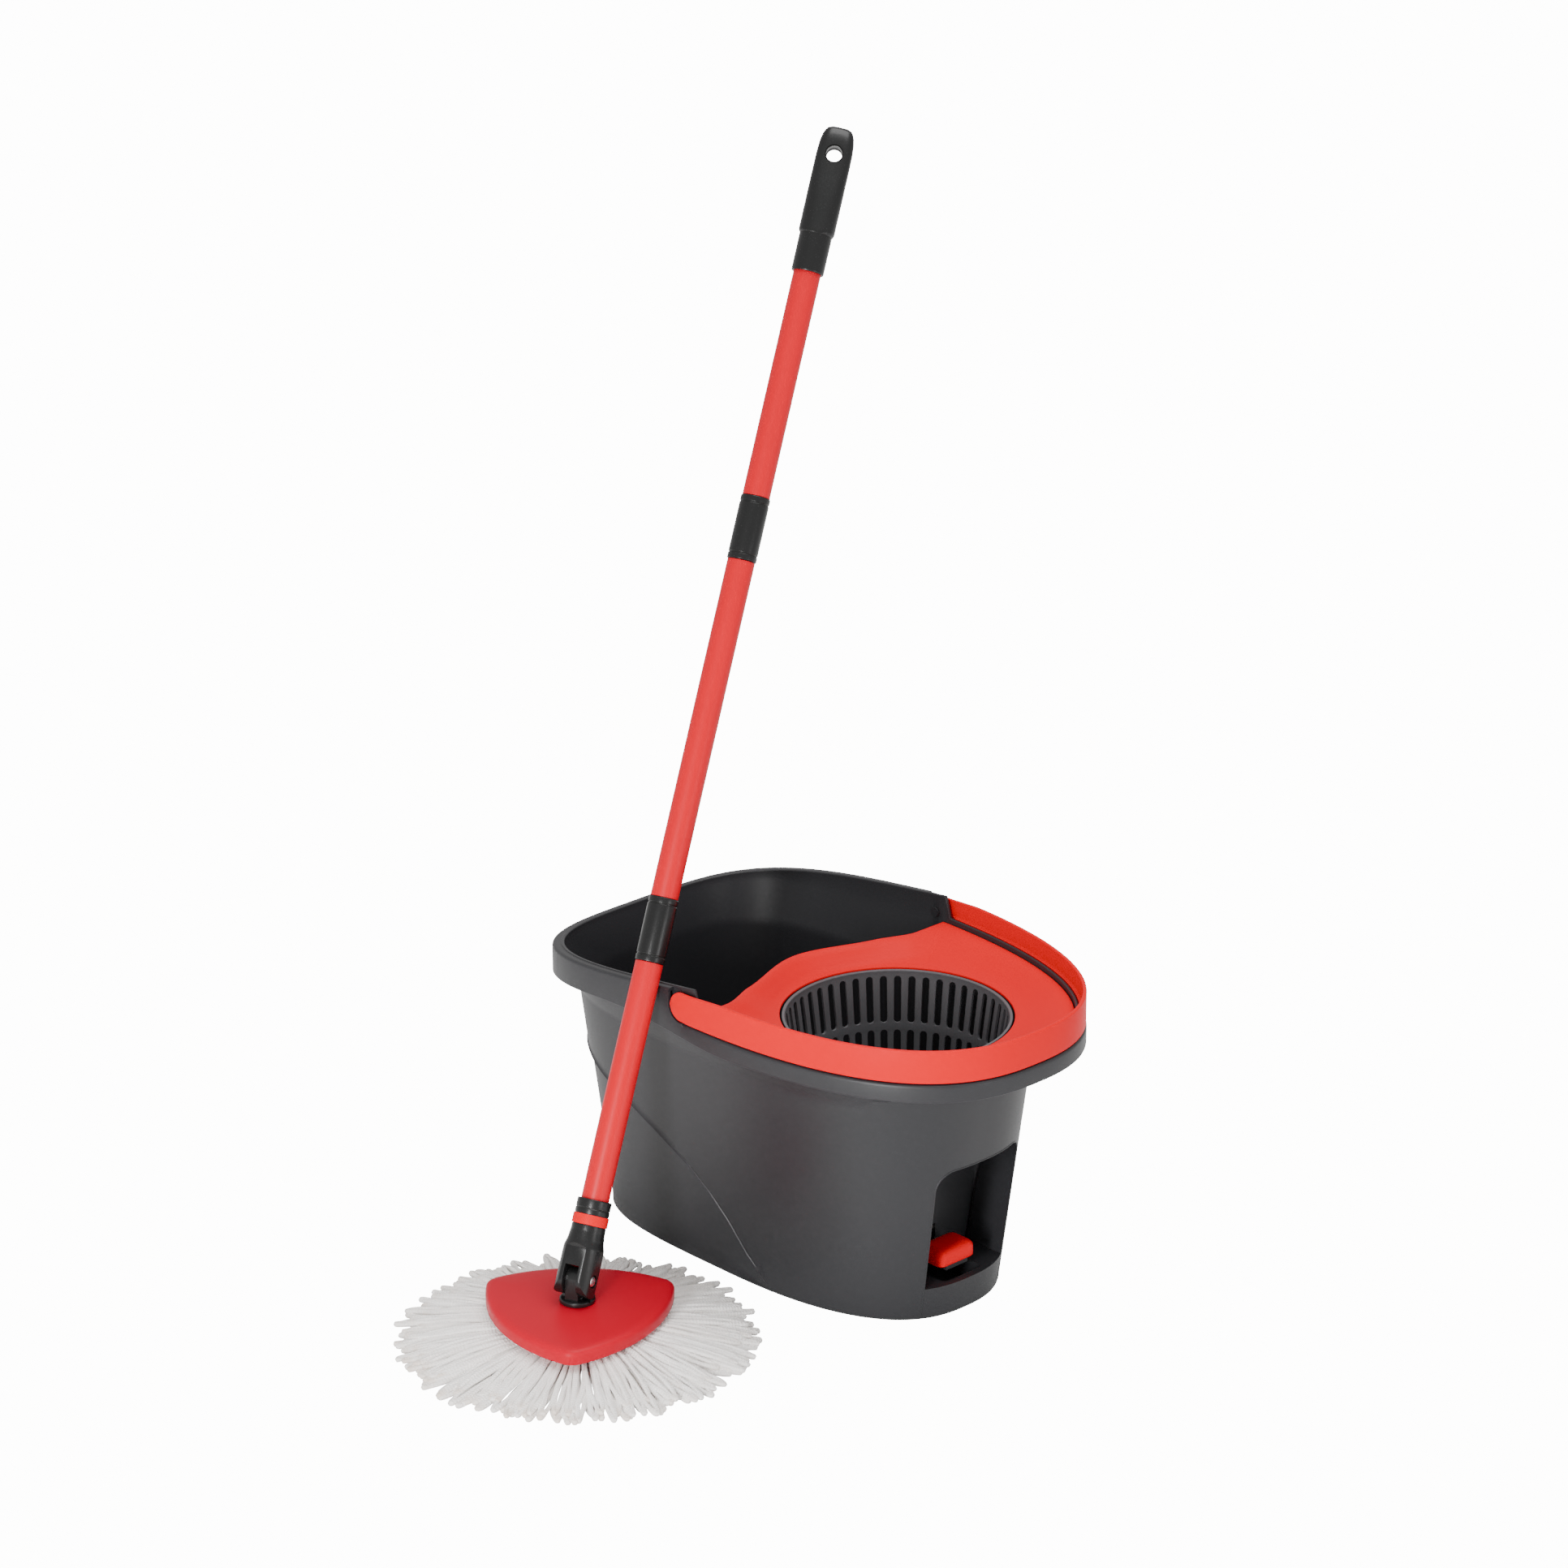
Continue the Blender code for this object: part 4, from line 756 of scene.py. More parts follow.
@dataclass(frozen=True)
class Plan:
    """The bucket's plan curves: two half superellipses that meet at x = 0."""

    rim: Triple = (0.197, 0.243, 0.1365)
    neck: Triple = (0.190, 0.200, 0.124)
    base: Triple = (0.1745, 0.1794, 0.0958)
    neck_z: float = 0.200
    power_rear: float = 3.75
    power_front: float = 2.51

    def curve(self, turn: Array, rear: Array, front: Array, side: Array) -> Array:
        """Give the distance to |x/length|^p + |y/side|^p = 1 in each direction.

        Args:
            turn: directions from the Z axis.
            rear: the length behind the axis.
            front: the length ahead of it.
            side: the half width.

        Returns:
            A distance for each direction.
        """
        c, s = np.abs(np.cos(turn)), np.abs(np.sin(turn))
        ahead = np.cos(turn) > 0
        power = np.where(ahead, self.power_front, self.power_rear)
        length = np.where(ahead, front, rear)
        return ((c / length) ** power + (s / side) ** power) ** (-1.0 / power)

    def rim_at(self, turn: Array, out: Array | float = 0.0) -> Array:
        """Give the inner rim curve, grown outwards."""
        rear, front, side = self.rim
        return self.curve(turn, rear + out, front + out, side + out)

    def wall_at(self, turn: Array, height: Array | float, out: Array | float = 0.0) -> Array:
        """Give the outer wall between base and neck, grown outwards.

        Args:
            turn: directions from the Z axis.
            height: heights above the floor.
            out: how far the curve is grown.

        Returns:
            A distance for each direction.
        """
        share = np.asarray(height) / self.neck_z
        rear, front, side = (b + (n - b) * share + out for b, n in zip(self.base, self.neck))
        return self.curve(turn, rear, front, side)

    def turn_of(self, x: float, out: float = 0.0) -> float:
        """Give the direction on the +Y side in which the rim curve has this x."""
        turn = np.linspace(0.0, math.pi, 4001)
        return float(np.interp(-x, -self.rim_at(turn, out) * np.cos(turn), turn))


PLAN = Plan()


def around(radius: Array, turn: Array, z: Array | float) -> Array:
    """Give points at a distance and direction from the Z axis."""
    height = np.broadcast_to(z, np.shape(radius))
    return np.stack([radius * np.cos(turn), radius * np.sin(turn), height], -1)


# ------------------------------------------------------------------ bucket


@dataclass
class Bucket:
    """The tank with its rolled lip, wringer housing, pedal recess and side crease."""

    steps: int = 320
    floor: float = 3.0 * MM
    lip_out: float = 8.5 * MM
    lip_drop: tuple[float, float] = (25.0 * MM, 15.0 * MM)
    lip_root_z: float = 0.228
    rim_low_z: float = 0.234
    rim_slope: float = 0.134
    shoulder_z: float = 0.2325
    wringer_rim_z: float = 0.2445
    step_x: float = 0.0075
    ear_end_x: float = 0.016
    crease_line: tuple[tuple[float, float], ...] = (
        (-0.200, 0.160), (-0.160, 0.150), (-0.127, 0.137), (-0.088, 0.123), (-0.058, 0.108),
        (-0.027, 0.090), (-0.002, 0.070), (0.018, 0.050), (0.036, 0.027), (0.055, 0.0075))
    crease_depth: float = 1.6 * MM
    crease_shape: tuple[tuple[float, float], ...] = (
        (-1.5 * MM, 1.0), (-0.9 * MM, 0.85), (-0.1 * MM, -0.30), (0.5 * MM, -0.62), (1.2 * MM, -0.50),
        (2.0 * MM, -0.12))
    cavity: tuple[float, float, float, float] = (0.047, 0.128, -0.032, 0.036)
    ceiling: float = 0.086
    tower_z: float = 0.113
    recess_side: tuple[float, float] = (0.0413, 0.0560)
    recess_top: float = 0.1315
    recess_low: float = 0.066
    recess_x: float = 0.1305
    recess_scoop: float = 0.0345
    sill: float = 0.028

    def crease_height(self, x: Array) -> Array:
        """Give the side crease's height: it falls from the rear end to the floor under the wringer."""
        places, heights = zip(*self.crease_line)
        return np.interp(x, places, heights)

    def wall_rows(self, turn: Array) -> list[Array]:
        """Give the outer wall from the floor to the neck; some of its rows follow the crease.

        Args:
            turn: directions from the Z axis.

        Returns:
            Rows of points.
        """
        x = PLAN.wall_at(turn, 0.08) * np.cos(turn)
        crease = self.crease_height(x)
        depth = self.crease_depth * smoothstep((0.062 - x) / 0.03)
        rows = [around(PLAN.wall_at(turn, z, out), turn, z)
                for z, out in ((0.0, -2.5 * MM), (0.4 * MM, -1.4 * MM), (1.2 * MM, -0.6 * MM))]
        foot = 2.5 * MM
        for share in np.linspace(0.0, 1.0, 12):
            z = foot + (crease - 2.4 * MM - foot) * share
            inset = depth * smoothstep(share * 6.0)
            rows.append(around(PLAN.wall_at(turn, z, -inset), turn, z))
        for rise, inset in self.crease_shape:
            rows.append(around(PLAN.wall_at(turn, crease + rise, -inset * depth), turn, crease + rise))
        for share in np.linspace(0.05, 1.0, 22):
            z = crease + 3.0 * MM + (PLAN.neck_z - crease - 3.0 * MM) * share
            rows.append(around(PLAN.wall_at(turn, z), turn, z))
        return rows

    def rim_rows(self, turn: Array) -> list[Array]:
        """Go from under the lip, round its skirt, over the rim and down inside it.

        Args:
            turn: directions from the Z axis.

        Returns:
            Rows of points.
        """
        x = PLAN.rim_at(turn) * np.cos(turn)
        rear = 1.0 - smoothstep((x - self.step_x + 0.0035) / 0.0035)
        ear = 1.0 - smoothstep((x - self.ear_end_x) / 0.006)
        high = self.rim_low_z + self.rim_slope * (x + PLAN.rim[0])
        top = high * ear + self.wringer_rim_z * (1.0 - ear)
        shoulder = (high - 1.0 * MM) * rear + self.shoulder_z * (1.0 - rear)
        ahead = smoothstep((x + 0.110) / 0.160)
        low = (high - self.lip_drop[0]) * (1.0 - ahead) + (self.shoulder_z - self.lip_drop[1]) * ahead
        skirt = self.lip_out - WALL
        path = [(WALL, self.lip_root_z), (WALL, shoulder - WALL), (skirt, shoulder - WALL), (skirt, low),
                (self.lip_out, low), (self.lip_out, shoulder), (WALL, shoulder + 0.2 * MM),
                (WALL * 0.95, top), (0.0, top), (0.0, self.lip_root_z + 0.5 * MM)]
        corners = [np.stack(np.broadcast_arrays(out, z, x)[:2], -1) for out, z in path]
        radii = [0, 0.5, 1.0, 0.8, 0.9, 5.0, 0.6, 1.0, 1.1, 0]
        rounded = fillet(corners, [r * MM for r in radii], 6)
        return [around(PLAN.rim_at(turn, row[:, 0]), turn, row[:, 1]) for row in rounded]

    def inner_rows(self, turn: Array) -> list[Array]:
        """Give the inside of the tank, down to its floor.

        Args:
            turn: directions from the Z axis.

        Returns:
            Rows of points.
        """
        heights = np.linspace(PLAN.neck_z + 2 * MM, 0.012, 24)
        rows = [around(PLAN.wall_at(turn, z, -WALL), turn, z) for z in heights]
        for z, inset in ((0.0075, 0.6 * MM), (0.0050, 2.0 * MM), (0.0036, 4.5 * MM), (self.floor, 8.0 * MM)):
            rows.append(around(PLAN.wall_at(turn, z, -WALL - inset), turn, z))
        return rows

    def arch(self, grow: float, top: float, low: float, corner: float) -> Array:
        """Give an arch in (y, z): flat sill, upright sides, the far one set wider, rounded top corners.

        Args:
            grow: how far the sides are moved out.
            top: height of its top.
            low: height of its sill.
            corner: radius of the top corners.

        Returns:
            Points x 2.
        """
        turn = np.linspace(0.0, math.pi / 2, 14)
        near, far = (side + grow for side in self.recess_side)
        z = top - corner + corner * np.sin(turn)
        right = np.stack([far - corner + corner * np.cos(turn), z], -1)
        left = np.stack([corner - near - corner * np.cos(turn), z], -1)[::-1]
        foot = far - 9.0 * MM
        return np.concatenate([[(-near, low), (foot, low)], right, left])

    def recess(self, grow: float, sill: float, reach: float) -> bpy.types.Object:
        """Make the scooped space of the pedal recess: arches that rise along a quarter wave.

        Args:
            grow: how far its surface is moved out.
            sill: height of its floor.
            reach: where it ends on +X.

        Returns:
            The cutter.
        """
        rows = []
        for share in np.linspace(0.0, 1.0, 20):
            x = self.recess_x + self.recess_scoop * (1.0 - math.cos(share * math.pi / 2))
            top = self.recess_low + (self.recess_top - self.recess_low) * math.sin(share * math.pi / 2)
            corner = 0.012 + 0.004 * share
            outline = self.arch(grow, top + grow, sill, corner + grow)
            rows.append(np.concatenate([np.full((len(outline), 1), x - grow), outline], 1))
        last = rows[-1].copy()
        last[:, 0] = reach
        return skin("cutter", np.stack(rows + [last]))

    def hull(self, turn: Array, out: float, low: float, high: float) -> bpy.types.Object:
        """Make the outer wall as a solid, moved out, between two heights."""
        return skin("cutter", np.stack([around(PLAN.wall_at(turn, z, out), turn, z) for z in (low, high)]))

    def drive_space(self) -> bpy.types.Object:
        """Make the drive's space under the wringer, open below, with a pillar left in each corner.

        Returns:
            The cutter.
        """
        x0, x1, y0, y1 = self.cavity
        pillar = 7.0 * MM
        pilot_r = 1.3 * MM
        space = brick((x0, y0 + pillar, -0.01), (x1, y1 - pillar, self.ceiling))
        long = brick((x0 + pillar, y0, -0.01), (x1 - pillar, y1, self.ceiling))
        mouth = brick((x0, y0, -0.01), (x1, y1, 4.5 * MM))
        carve(space, long, mouth, operation="UNION")
        half = pillar / 2
        holes = [drill(pilot_r, -0.005, 0.016, (x, y, 0.0), steps=16)
                 for x in (x0 + half, x1 - half) for y in (y0 + half, y1 - half)]
        carve(space, *holes, operation="UNION")
        bosses = []
        for x, y in ((x0 + 5.5 * MM, y0 + 11.5 * MM), (SPIN_X + 12.5 * MM, y0 + 13.5 * MM)):
            boss = drill(3.2 * MM, 0.0488, self.ceiling + 1.0 * MM, (x, y, 0.0), steps=24)
            bosses.append(carve(boss, drill(pilot_r, 0.04, self.ceiling + 0.5 * MM, (x, y, 0.0), steps=16)))
        return carve(space, *bosses)

    def build(self, finishes: Finishes) -> None:
        """Make the tank and the bead round its recess.

        Args:
            finishes: the materials.
        """
        turn = np.linspace(-math.pi, math.pi, self.steps, endpoint=False)
        both = (-1, 1)
        rows = self.wall_rows(turn) + self.rim_rows(turn) + self.inner_rows(turn)
        tank = skin("bucket_tank", np.stack(rows))
        pivots = [drill(2.8 * MM, *sorted((side * 0.1305, side * 0.141)), (PIVOT_X, 0.0, PIVOT_Z), "Y", 24)
                  for side in both]
        room = 12.9 * MM
        under = np.linspace(math.pi, FULL_TURN, 40)
        bowl = np.stack([PIVOT_X + room * np.cos(under), PIVOT_Z + room * np.sin(under)], -1)
        pocket = np.concatenate([bowl, [(PIVOT_X + room, 0.280), (PIVOT_X - room, 0.280)]])
        ends = [prism("cutter", pocket, *sorted((side * 0.1393, side * 0.150)), "Y") for side in both]
        carve(tank, *pivots, *ends)
        x0, x1, y0, y1 = self.cavity
        housing = brick((x0 - WALL, y0 - WALL, 1.0 * MM), (0.150, y1 + WALL, self.ceiling + WALL))
        carve(housing, drill(9.5 * MM, self.ceiling, self.tower_z, SPIN_AT),
              self.recess(WALL, 1.0 * MM, 0.243), operation="UNION")
        carve(housing, self.hull(turn, -0.8 * MM, 0.5 * MM, 0.19), operation="INTERSECT")
        carve(housing, drill(6.3 * MM, self.ceiling - 6.0 * MM, self.tower_z - 2.5 * MM, SPIN_AT, steps=32),
              drill(4.7 * MM, self.tower_z - 8.0 * MM, self.tower_z + 7.0 * MM, SPIN_AT, steps=32))
        carve(tank, housing, operation="UNION")
        pockets = [brick((x1 + 4.0 * MM, *low), (0.158, *high)) for low, high in (
            ((0.0235, -0.01), (0.0413, 0.0255)), ((-0.0413, -0.01), (-0.0235, 0.0255)))]
        carve(tank, self.drive_space(), *pockets)
        opening = self.recess(0.0, self.sill, 0.253)
        carve(opening, brick((x1 - 8.0 * MM, -0.0135, 0.0105), (0.140, 0.0135, 0.052)),
              self.well(), operation="UNION")
        carve(tank, opening)
        finishes.dress(tank, Look.CHARCOAL, "bucket", "bucket_shell")
        self.arch_bead(finishes)

    def well(self) -> bpy.types.Object:
        """Make the hollow in the sill that the pedal sinks into.

        Returns:
            The cutter.
        """
        back, front, side = 0.1295, 0.1755, 0.021
        corners = [np.array(c) for c in ((back, -side), (front, -side), (front, side), (back, side))]
        return prism("cutter", fillet(corners, [6.0 * MM] * 4, 8, True), 0.010, 0.040)

    def arch_bead(self, finishes: Finishes) -> None:
        """Make a rounded bead along the mouth of the recess, half sunk into the wall.

        Args:
            finishes: the materials.
        """
        outline = self.arch(0.5 * MM, self.recess_top + 0.5 * MM, 0.0045, 0.0165)
        path = np.concatenate([outline[1:], outline[:1]])
        lengths = np.concatenate([[0.0], np.cumsum(np.linalg.norm(np.diff(path, axis=0), axis=1))])
        even = np.linspace(0.0, lengths[-1], 150)
        y = np.interp(even, lengths, path[:, 0])
        z = np.interp(even, lengths, path[:, 1])
        turn = np.arctan2(y, 0.19)
        for _ in range(6):
            turn = np.arcsin(y / PLAN.wall_at(turn, z))
        centre = np.stack([PLAN.wall_at(turn, z, -0.35 * MM) * np.cos(turn), y, z], -1)
        out = np.array([1.0, 0.0, 0.0])
        ahead = np.gradient(centre, axis=0)
        ahead /= np.linalg.norm(ahead, axis=1, keepdims=True)
        side = np.cross(ahead, out)
        side /= np.linalg.norm(side, axis=1, keepdims=True)
        top = np.cross(side, ahead)
        spin = circle(12)
        ring = np.cos(spin)[None, :, None] * side[:, None] + np.sin(spin)[None, :, None] * top[:, None]
        bead = skin("recess_bead", centre[:, None] + 0.75 * MM * ring)
        finishes.dress(bead, Look.CHARCOAL, "bucket")


@dataclass
class Deck:
    """The red top over the wringer: a saddle from the round hole to the tank's rim."""

    hole_r: float = 0.092
    hole_z: float = 0.2274
    edge_z: float = 0.2405
    thick: float = 2.0 * MM
    fit: float = 0.6 * MM
    steps: int = 300

    def free_edge(self, y: Array) -> Array:
        """Give the x of the edge over the tank: out round the hole and drawn back at the sides."""
        aside = np.abs(y)
        return -0.0176 + 0.023 * smoothstep(aside / 0.085) + 0.010 * smoothstep((aside - 0.070) / 0.035)

    def reach(self, turn: Array) -> Array:
        """Find the distance from the spin axis to the outline by halving.

        Args:
            turn: directions from the spin axis.

        Returns:
            A distance for each direction.
        """
        low = np.full_like(turn, self.hole_r)
        high = np.full_like(turn, 0.30)
        for _ in range(40):
            middle = (low + high) / 2
            x = SPIN_X + middle * np.cos(turn)
            y = middle * np.sin(turn)
            inside = (np.hypot(x, y) < PLAN.rim_at(np.arctan2(y, x), -self.fit)) & (x > self.free_edge(y))
            low = np.where(inside, middle, low)
            high = np.where(inside, high, middle)
        return low

    def build(self, finishes: Finishes) -> None:
        """Make the deck with a rolled hole and a rounded outer edge.

        Args:
            finishes: the materials.
        """
        turn = circle(self.steps)
        side = PLAN.rim[2] - self.fit
        corner = math.atan2(side, float(self.free_edge(np.array(side))) - SPIN_X)
        turn = np.sort(np.concatenate([turn, [corner, FULL_TURN - corner]]))
        edge = self.reach(turn)
        span = edge - self.hole_r
        gap = SPIN_X + edge * np.cos(turn) - self.free_edge(edge * np.sin(turn))
        free = smoothstep((3.0 * MM - gap) / (2.0 * MM))
        rise = self.edge_z - self.hole_z

        def row(share: float, drop: Array | float, inset: float = 0.0) -> Array:
            """Give one ring of the deck.

            Args:
                share: 0 at the hole, 1 at the outer edge.
                drop: how far it lies below the upper surface.
                inset: how far it is moved out from its place.

            Returns:
                The ring's points.
            """
            radius = self.hole_r + span * share + inset
            lift = 0.30 * smoothstep(share / 0.45) + 0.70 * smoothstep((share - 0.25) / 0.70)
            z = self.hole_z + rise * lift - drop + 0.0 * turn
            return np.stack([SPIN_X + radius * np.cos(turn), radius * np.sin(turn), z], -1)

        skirt = self.thick + 5.0 * MM * free
        rows = [row(0.0, self.thick, 0.2 * MM), row(0.0, 1.0 * MM), row(0.0, 0.35 * MM, 0.25 * MM),
                row(0.0, 0.0, 0.9 * MM)]
        rows += [row(s, 0.0, 0.9 * MM * (1 - s)) for s in np.linspace(0.06, 0.96, 18)]
        rows += [row(1.0, 0.0, -1.2 * MM), row(1.0, 0.3 * MM, -0.35 * MM), row(1.0, 1.1 * MM),
                 row(1.0, skirt), row(1.0, skirt, -1.6 * MM), row(1.0, self.thick, -1.8 * MM)]
        rows += [row(s, self.thick, 0.2 * MM) for s in (0.9, 0.7, 0.5, 0.3, 0.12)]
        deck = skin("wringer_top", np.stack(rows), wrap_rows=True, caps=False)
        finishes.dress(deck, Look.RED, "bucket", "wringer_deck")


@dataclass
class CarryHandle:
    """The bail: a band round the wringer's rim, with an inner ledge and round pivot ends."""

    out: float = 8.0 * MM
    thick: float = 3.0 * MM
    low_z: float = 0.2335
    top_z: float = 0.2605
    end_r: float = 12.0 * MM
    steps: int = 220

    def build(self, finishes: Finishes) -> None:
        """Make the band.

        Args:
            finishes: the materials.
        """
        start = PLAN.turn_of(PIVOT_X - self.end_r + 0.05 * MM, self.out)
        ease = np.linspace(-1.0, 1.0, self.steps)
        turn = start * (0.75 * ease + 0.25 * np.sign(ease) * (1.0 - (1.0 - np.abs(ease)) ** 3))
        outer = PLAN.rim_at(turn, self.out)
        x = outer * np.cos(turn)
        rise = smoothstep((x - PIVOT_X) / 0.05)
        past = np.maximum(PIVOT_X - x, 0.0)
        half = np.sqrt(np.maximum(self.end_r**2 - past**2, (0.6 * MM) ** 2))
        high = np.where(x < PIVOT_X, PIVOT_Z + half,
                        PIVOT_Z + self.end_r + (self.top_z - PIVOT_Z - self.end_r) * rise)
        low = np.where(x < PIVOT_X, PIVOT_Z - half, PIVOT_Z - self.end_r
                       + (self.low_z - PIVOT_Z + self.end_r) * smoothstep((x - PIVOT_X) / 0.01))
        ledge = 0.1 * MM + 2.1 * MM * smoothstep((x - 0.022) / 0.004)
        shelf_low = np.where(x < PIVOT_X, PIVOT_Z - 0.3 * half, 0.2425)
        shelf_high = np.where(x < PIVOT_X, PIVOT_Z - 0.1 * half, 0.2450)
        inner = self.out - self.thick
        path = [(self.out, low), (self.out, high), (inner, high), (inner, shelf_high),
                (inner - ledge, shelf_high), (inner - ledge, shelf_low), (inner, shelf_low), (inner, low)]
        corners = [np.stack([np.broadcast_to(o, x.shape), z], -1) for o, z in path]
        radii = [0.9 * MM, 1.4 * MM, 1.1 * MM, 0.3 * MM, 0.5 * MM, 0.4 * MM, 0.3 * MM, 0.8 * MM]
        section = fillet(corners, radii, 5, True)
        points = np.stack([around(PLAN.rim_at(turn, row[:, 0]), turn, row[:, 1]) for row in section], 1)
        band = skin("carry_bail", points)
        holes = [drill(2.55 * MM, *sorted((side * 0.1395, side * 0.1438)), (PIVOT_X, 0.0, PIVOT_Z), "Y")
                 for side in (-1, 1)]
        carve(band, *holes)
        finishes.dress(band, Look.RED, "carry_handle", "carry_handle")


@dataclass
class Basket:
    """The slotted bowl: two skins of cells, with round-ended slots in two tiers."""

    top_r: float = 0.0903
    top_z: float = 0.2262
    foot_r: float = 0.0795
    foot_z: float = 0.150
    floor_r: float = 0.056
    floor_z: float = 0.130
    thick: float = 2.2 * MM
    slots: int = 48
    slot_half: float = 2.95 * MM
    tiers: tuple[tuple[float, float], ...] = ((0.150, 0.1775), (0.183, 0.2215))

    def radius(self, z: Array) -> Array:
        """Give the radius of the conical wall above its bend."""
        return self.foot_r + (z - self.foot_z) * (self.top_r - self.foot_r) / (self.top_z - self.foot_z)

    def rows(self) -> tuple[Array, Array, Array]:
        """Lay out the wall's rows.

        Returns:
            Their heights, the slots' half width at each, and whether the band above each is open.
        """
        heights, widths, opened = [], [], []
        ends = np.array([0.0, 0.10, 0.35, 0.70, 1.0])
        for low, high in self.tiers:
            round_up = low + self.slot_half * ends
            round_down = high - self.slot_half * ends[::-1]
            heights += [*round_up, *round_down]
            full = self.slot_half * np.sqrt(np.maximum(1.0 - (1.0 - ends) ** 2, 0.0))
            widths += [*full, *full[::-1]]
            opened += [True] * 9 + [False]
        heights.append(self.top_z - 1.2 * MM)
        widths.append(0.0)
        return np.array(heights), np.array(widths), np.array(opened)

    def build(self, finishes: Finishes) -> None:
        """Make the bowl, its clutch sleeve and the cap over the screw.

        Args:
            finishes: the materials.
        """
        heights, widths, opened = self.rows()
        period = FULL_TURN / self.slots
        wide = self.slot_half / self.top_r
        slot = np.arange(self.slots)[:, None] * period
        narrow = widths / self.radius(heights)
        edge = np.maximum(narrow, 1e-5)
        offsets = np.stack([-edge, edge, np.full_like(edge, wide + (period / 2 - wide) * 0.5),
                            np.full_like(edge, period - wide - (period / 2 - wide) * 0.5)], -1)
        turn = (slot[None] + offsets[:, None, :]).reshape(len(heights), -1)
        cols = turn.shape[1]
        rib = np.tile([0.0, 0.0, 1.0, 1.0], self.slots)

        def wall(inset: float, bulge: float) -> Array:
            """Give one skin, with its ribs' middles moved out from the slots' edges by `bulge`."""
            r = self.radius(heights)[:, None] - inset + bulge * rib[None]
            return np.stack([SPIN_X + r * np.cos(turn), r * np.sin(turn), heights[:, None] + 0.0 * r], -1)

        outer, inner = wall(0.0, 0.0), wall(self.thick - 0.25 * MM, -0.25 * MM)
        rows = len(heights)
        index = np.arange(rows * cols).reshape(rows, cols)
        inner_index = index + rows * cols
        ahead = np.roll(index, -1, 1)
        is_slot = np.zeros((rows - 1, cols), bool)
        is_slot[:, ::4] = opened[: rows - 1, None]
        solid_cells = ~is_slot
        quads = np.stack([index[:-1], ahead[:-1], ahead[1:], index[1:]], -1)
        outer_faces = quads[solid_cells]
        inner_faces = quads[solid_cells][:, ::-1] + rows * cols
        sides = []
        for first, second in ((index[:-1], index[1:]), (ahead[1:], ahead[:-1])):
            a, b = first[is_slot], second[is_slot]
            sides.append(np.stack([a, b, b + rows * cols, a + rows * cols], -1))
        points = [outer.reshape(-1, 3), inner.reshape(-1, 3)]
        faces = [outer_faces, inner_faces, *sides]
        base = 2 * rows * cols
        bend = self.top_r - 17.0 * MM
        skins = (
            ((self.floor_r, self.floor_z), (bend, self.floor_z + 5 * MM), (self.foot_r - 1.2 * MM, 0.1440)),
            ((self.floor_r, self.floor_z + self.thick), (bend - 1.5 * MM, self.floor_z + 7 * MM),
             (self.foot_r - 3.4 * MM, 0.1445)),
        )
        ends = []
        foot_turn = turn[0]
        for level, wall_row in zip(skins, (index[0], inner_index[0])):
            last = wall_row
            for r, z in reversed(level):
                points.append(np.stack([SPIN_X + r * np.cos(foot_turn), r * np.sin(foot_turn),
                                        z + 0.0 * foot_turn], -1))
                row = base + np.arange(cols)
                base += cols
                faces.append(np.stack([row, np.roll(row, -1), np.roll(last, -1), last], -1))
                last = row
            ends.append(last)
        lips = []
        lip_turn = turn[-1]
        for r, z in ((self.top_r + 0.15 * MM, self.top_z - 0.6 * MM), (self.top_r, self.top_z),
                     (self.top_r - self.thick + 0.3 * MM, self.top_z),
                     (self.top_r - self.thick - 0.2 * MM, self.top_z - 0.6 * MM)):
            points.append(np.stack([SPIN_X + r * np.cos(lip_turn), r * np.sin(lip_turn),
                                    z + 0.0 * lip_turn], -1))
            lips.append(base + np.arange(cols))
            base += cols
        chain = [index[-1], *lips, inner_index[-1]]
        for low, high in zip(chain, chain[1:]):
            faces.append(np.stack([low, np.roll(low, -1), np.roll(high, -1), high], -1))
        all_faces = np.concatenate(faces).tolist() + [ends[0][::-1].tolist(), ends[1].tolist()]
        bowl = solid("wringer_basket", np.concatenate(points), all_faces, 0.004 * MM)
        sleeve = drill(17.0 * MM, 0.1175, self.floor_z + 1.0 * MM, SPIN_AT)
        carve(sleeve, drill(14.8 * MM, 0.11, 0.14, SPIN_AT))
        carve(bowl, sleeve, operation="UNION")
        carve(bowl, drill(5.0 * MM, 0.12, 0.14, SPIN_AT))
        finishes.dress(bowl, Look.GREY, "basket", "basket")
        foot = self.floor_z + self.thick + GAP
        cap = turned("basket_cap", [(10.2 * MM, foot), (13.5 * MM, foot), (12.5 * MM, foot + 7.0 * MM),
                                    (9.5 * MM, foot + 13.0 * MM), (0.0, foot + 15.0 * MM),
                                    (0.0, foot + 12.5 * MM), (8.0 * MM, foot + 10.5 * MM),
                                    (10.2 * MM, foot + 6.5 * MM)],
                     [0, 0.6 * MM, 2 * MM, 3 * MM, 0, 0, 1 * MM, 1 * MM], closed=True)
        cap.data.transform(Matrix.Translation(SPIN_AT))
        finishes.dress(cap, Look.GREY, "basket", "hub_cap")


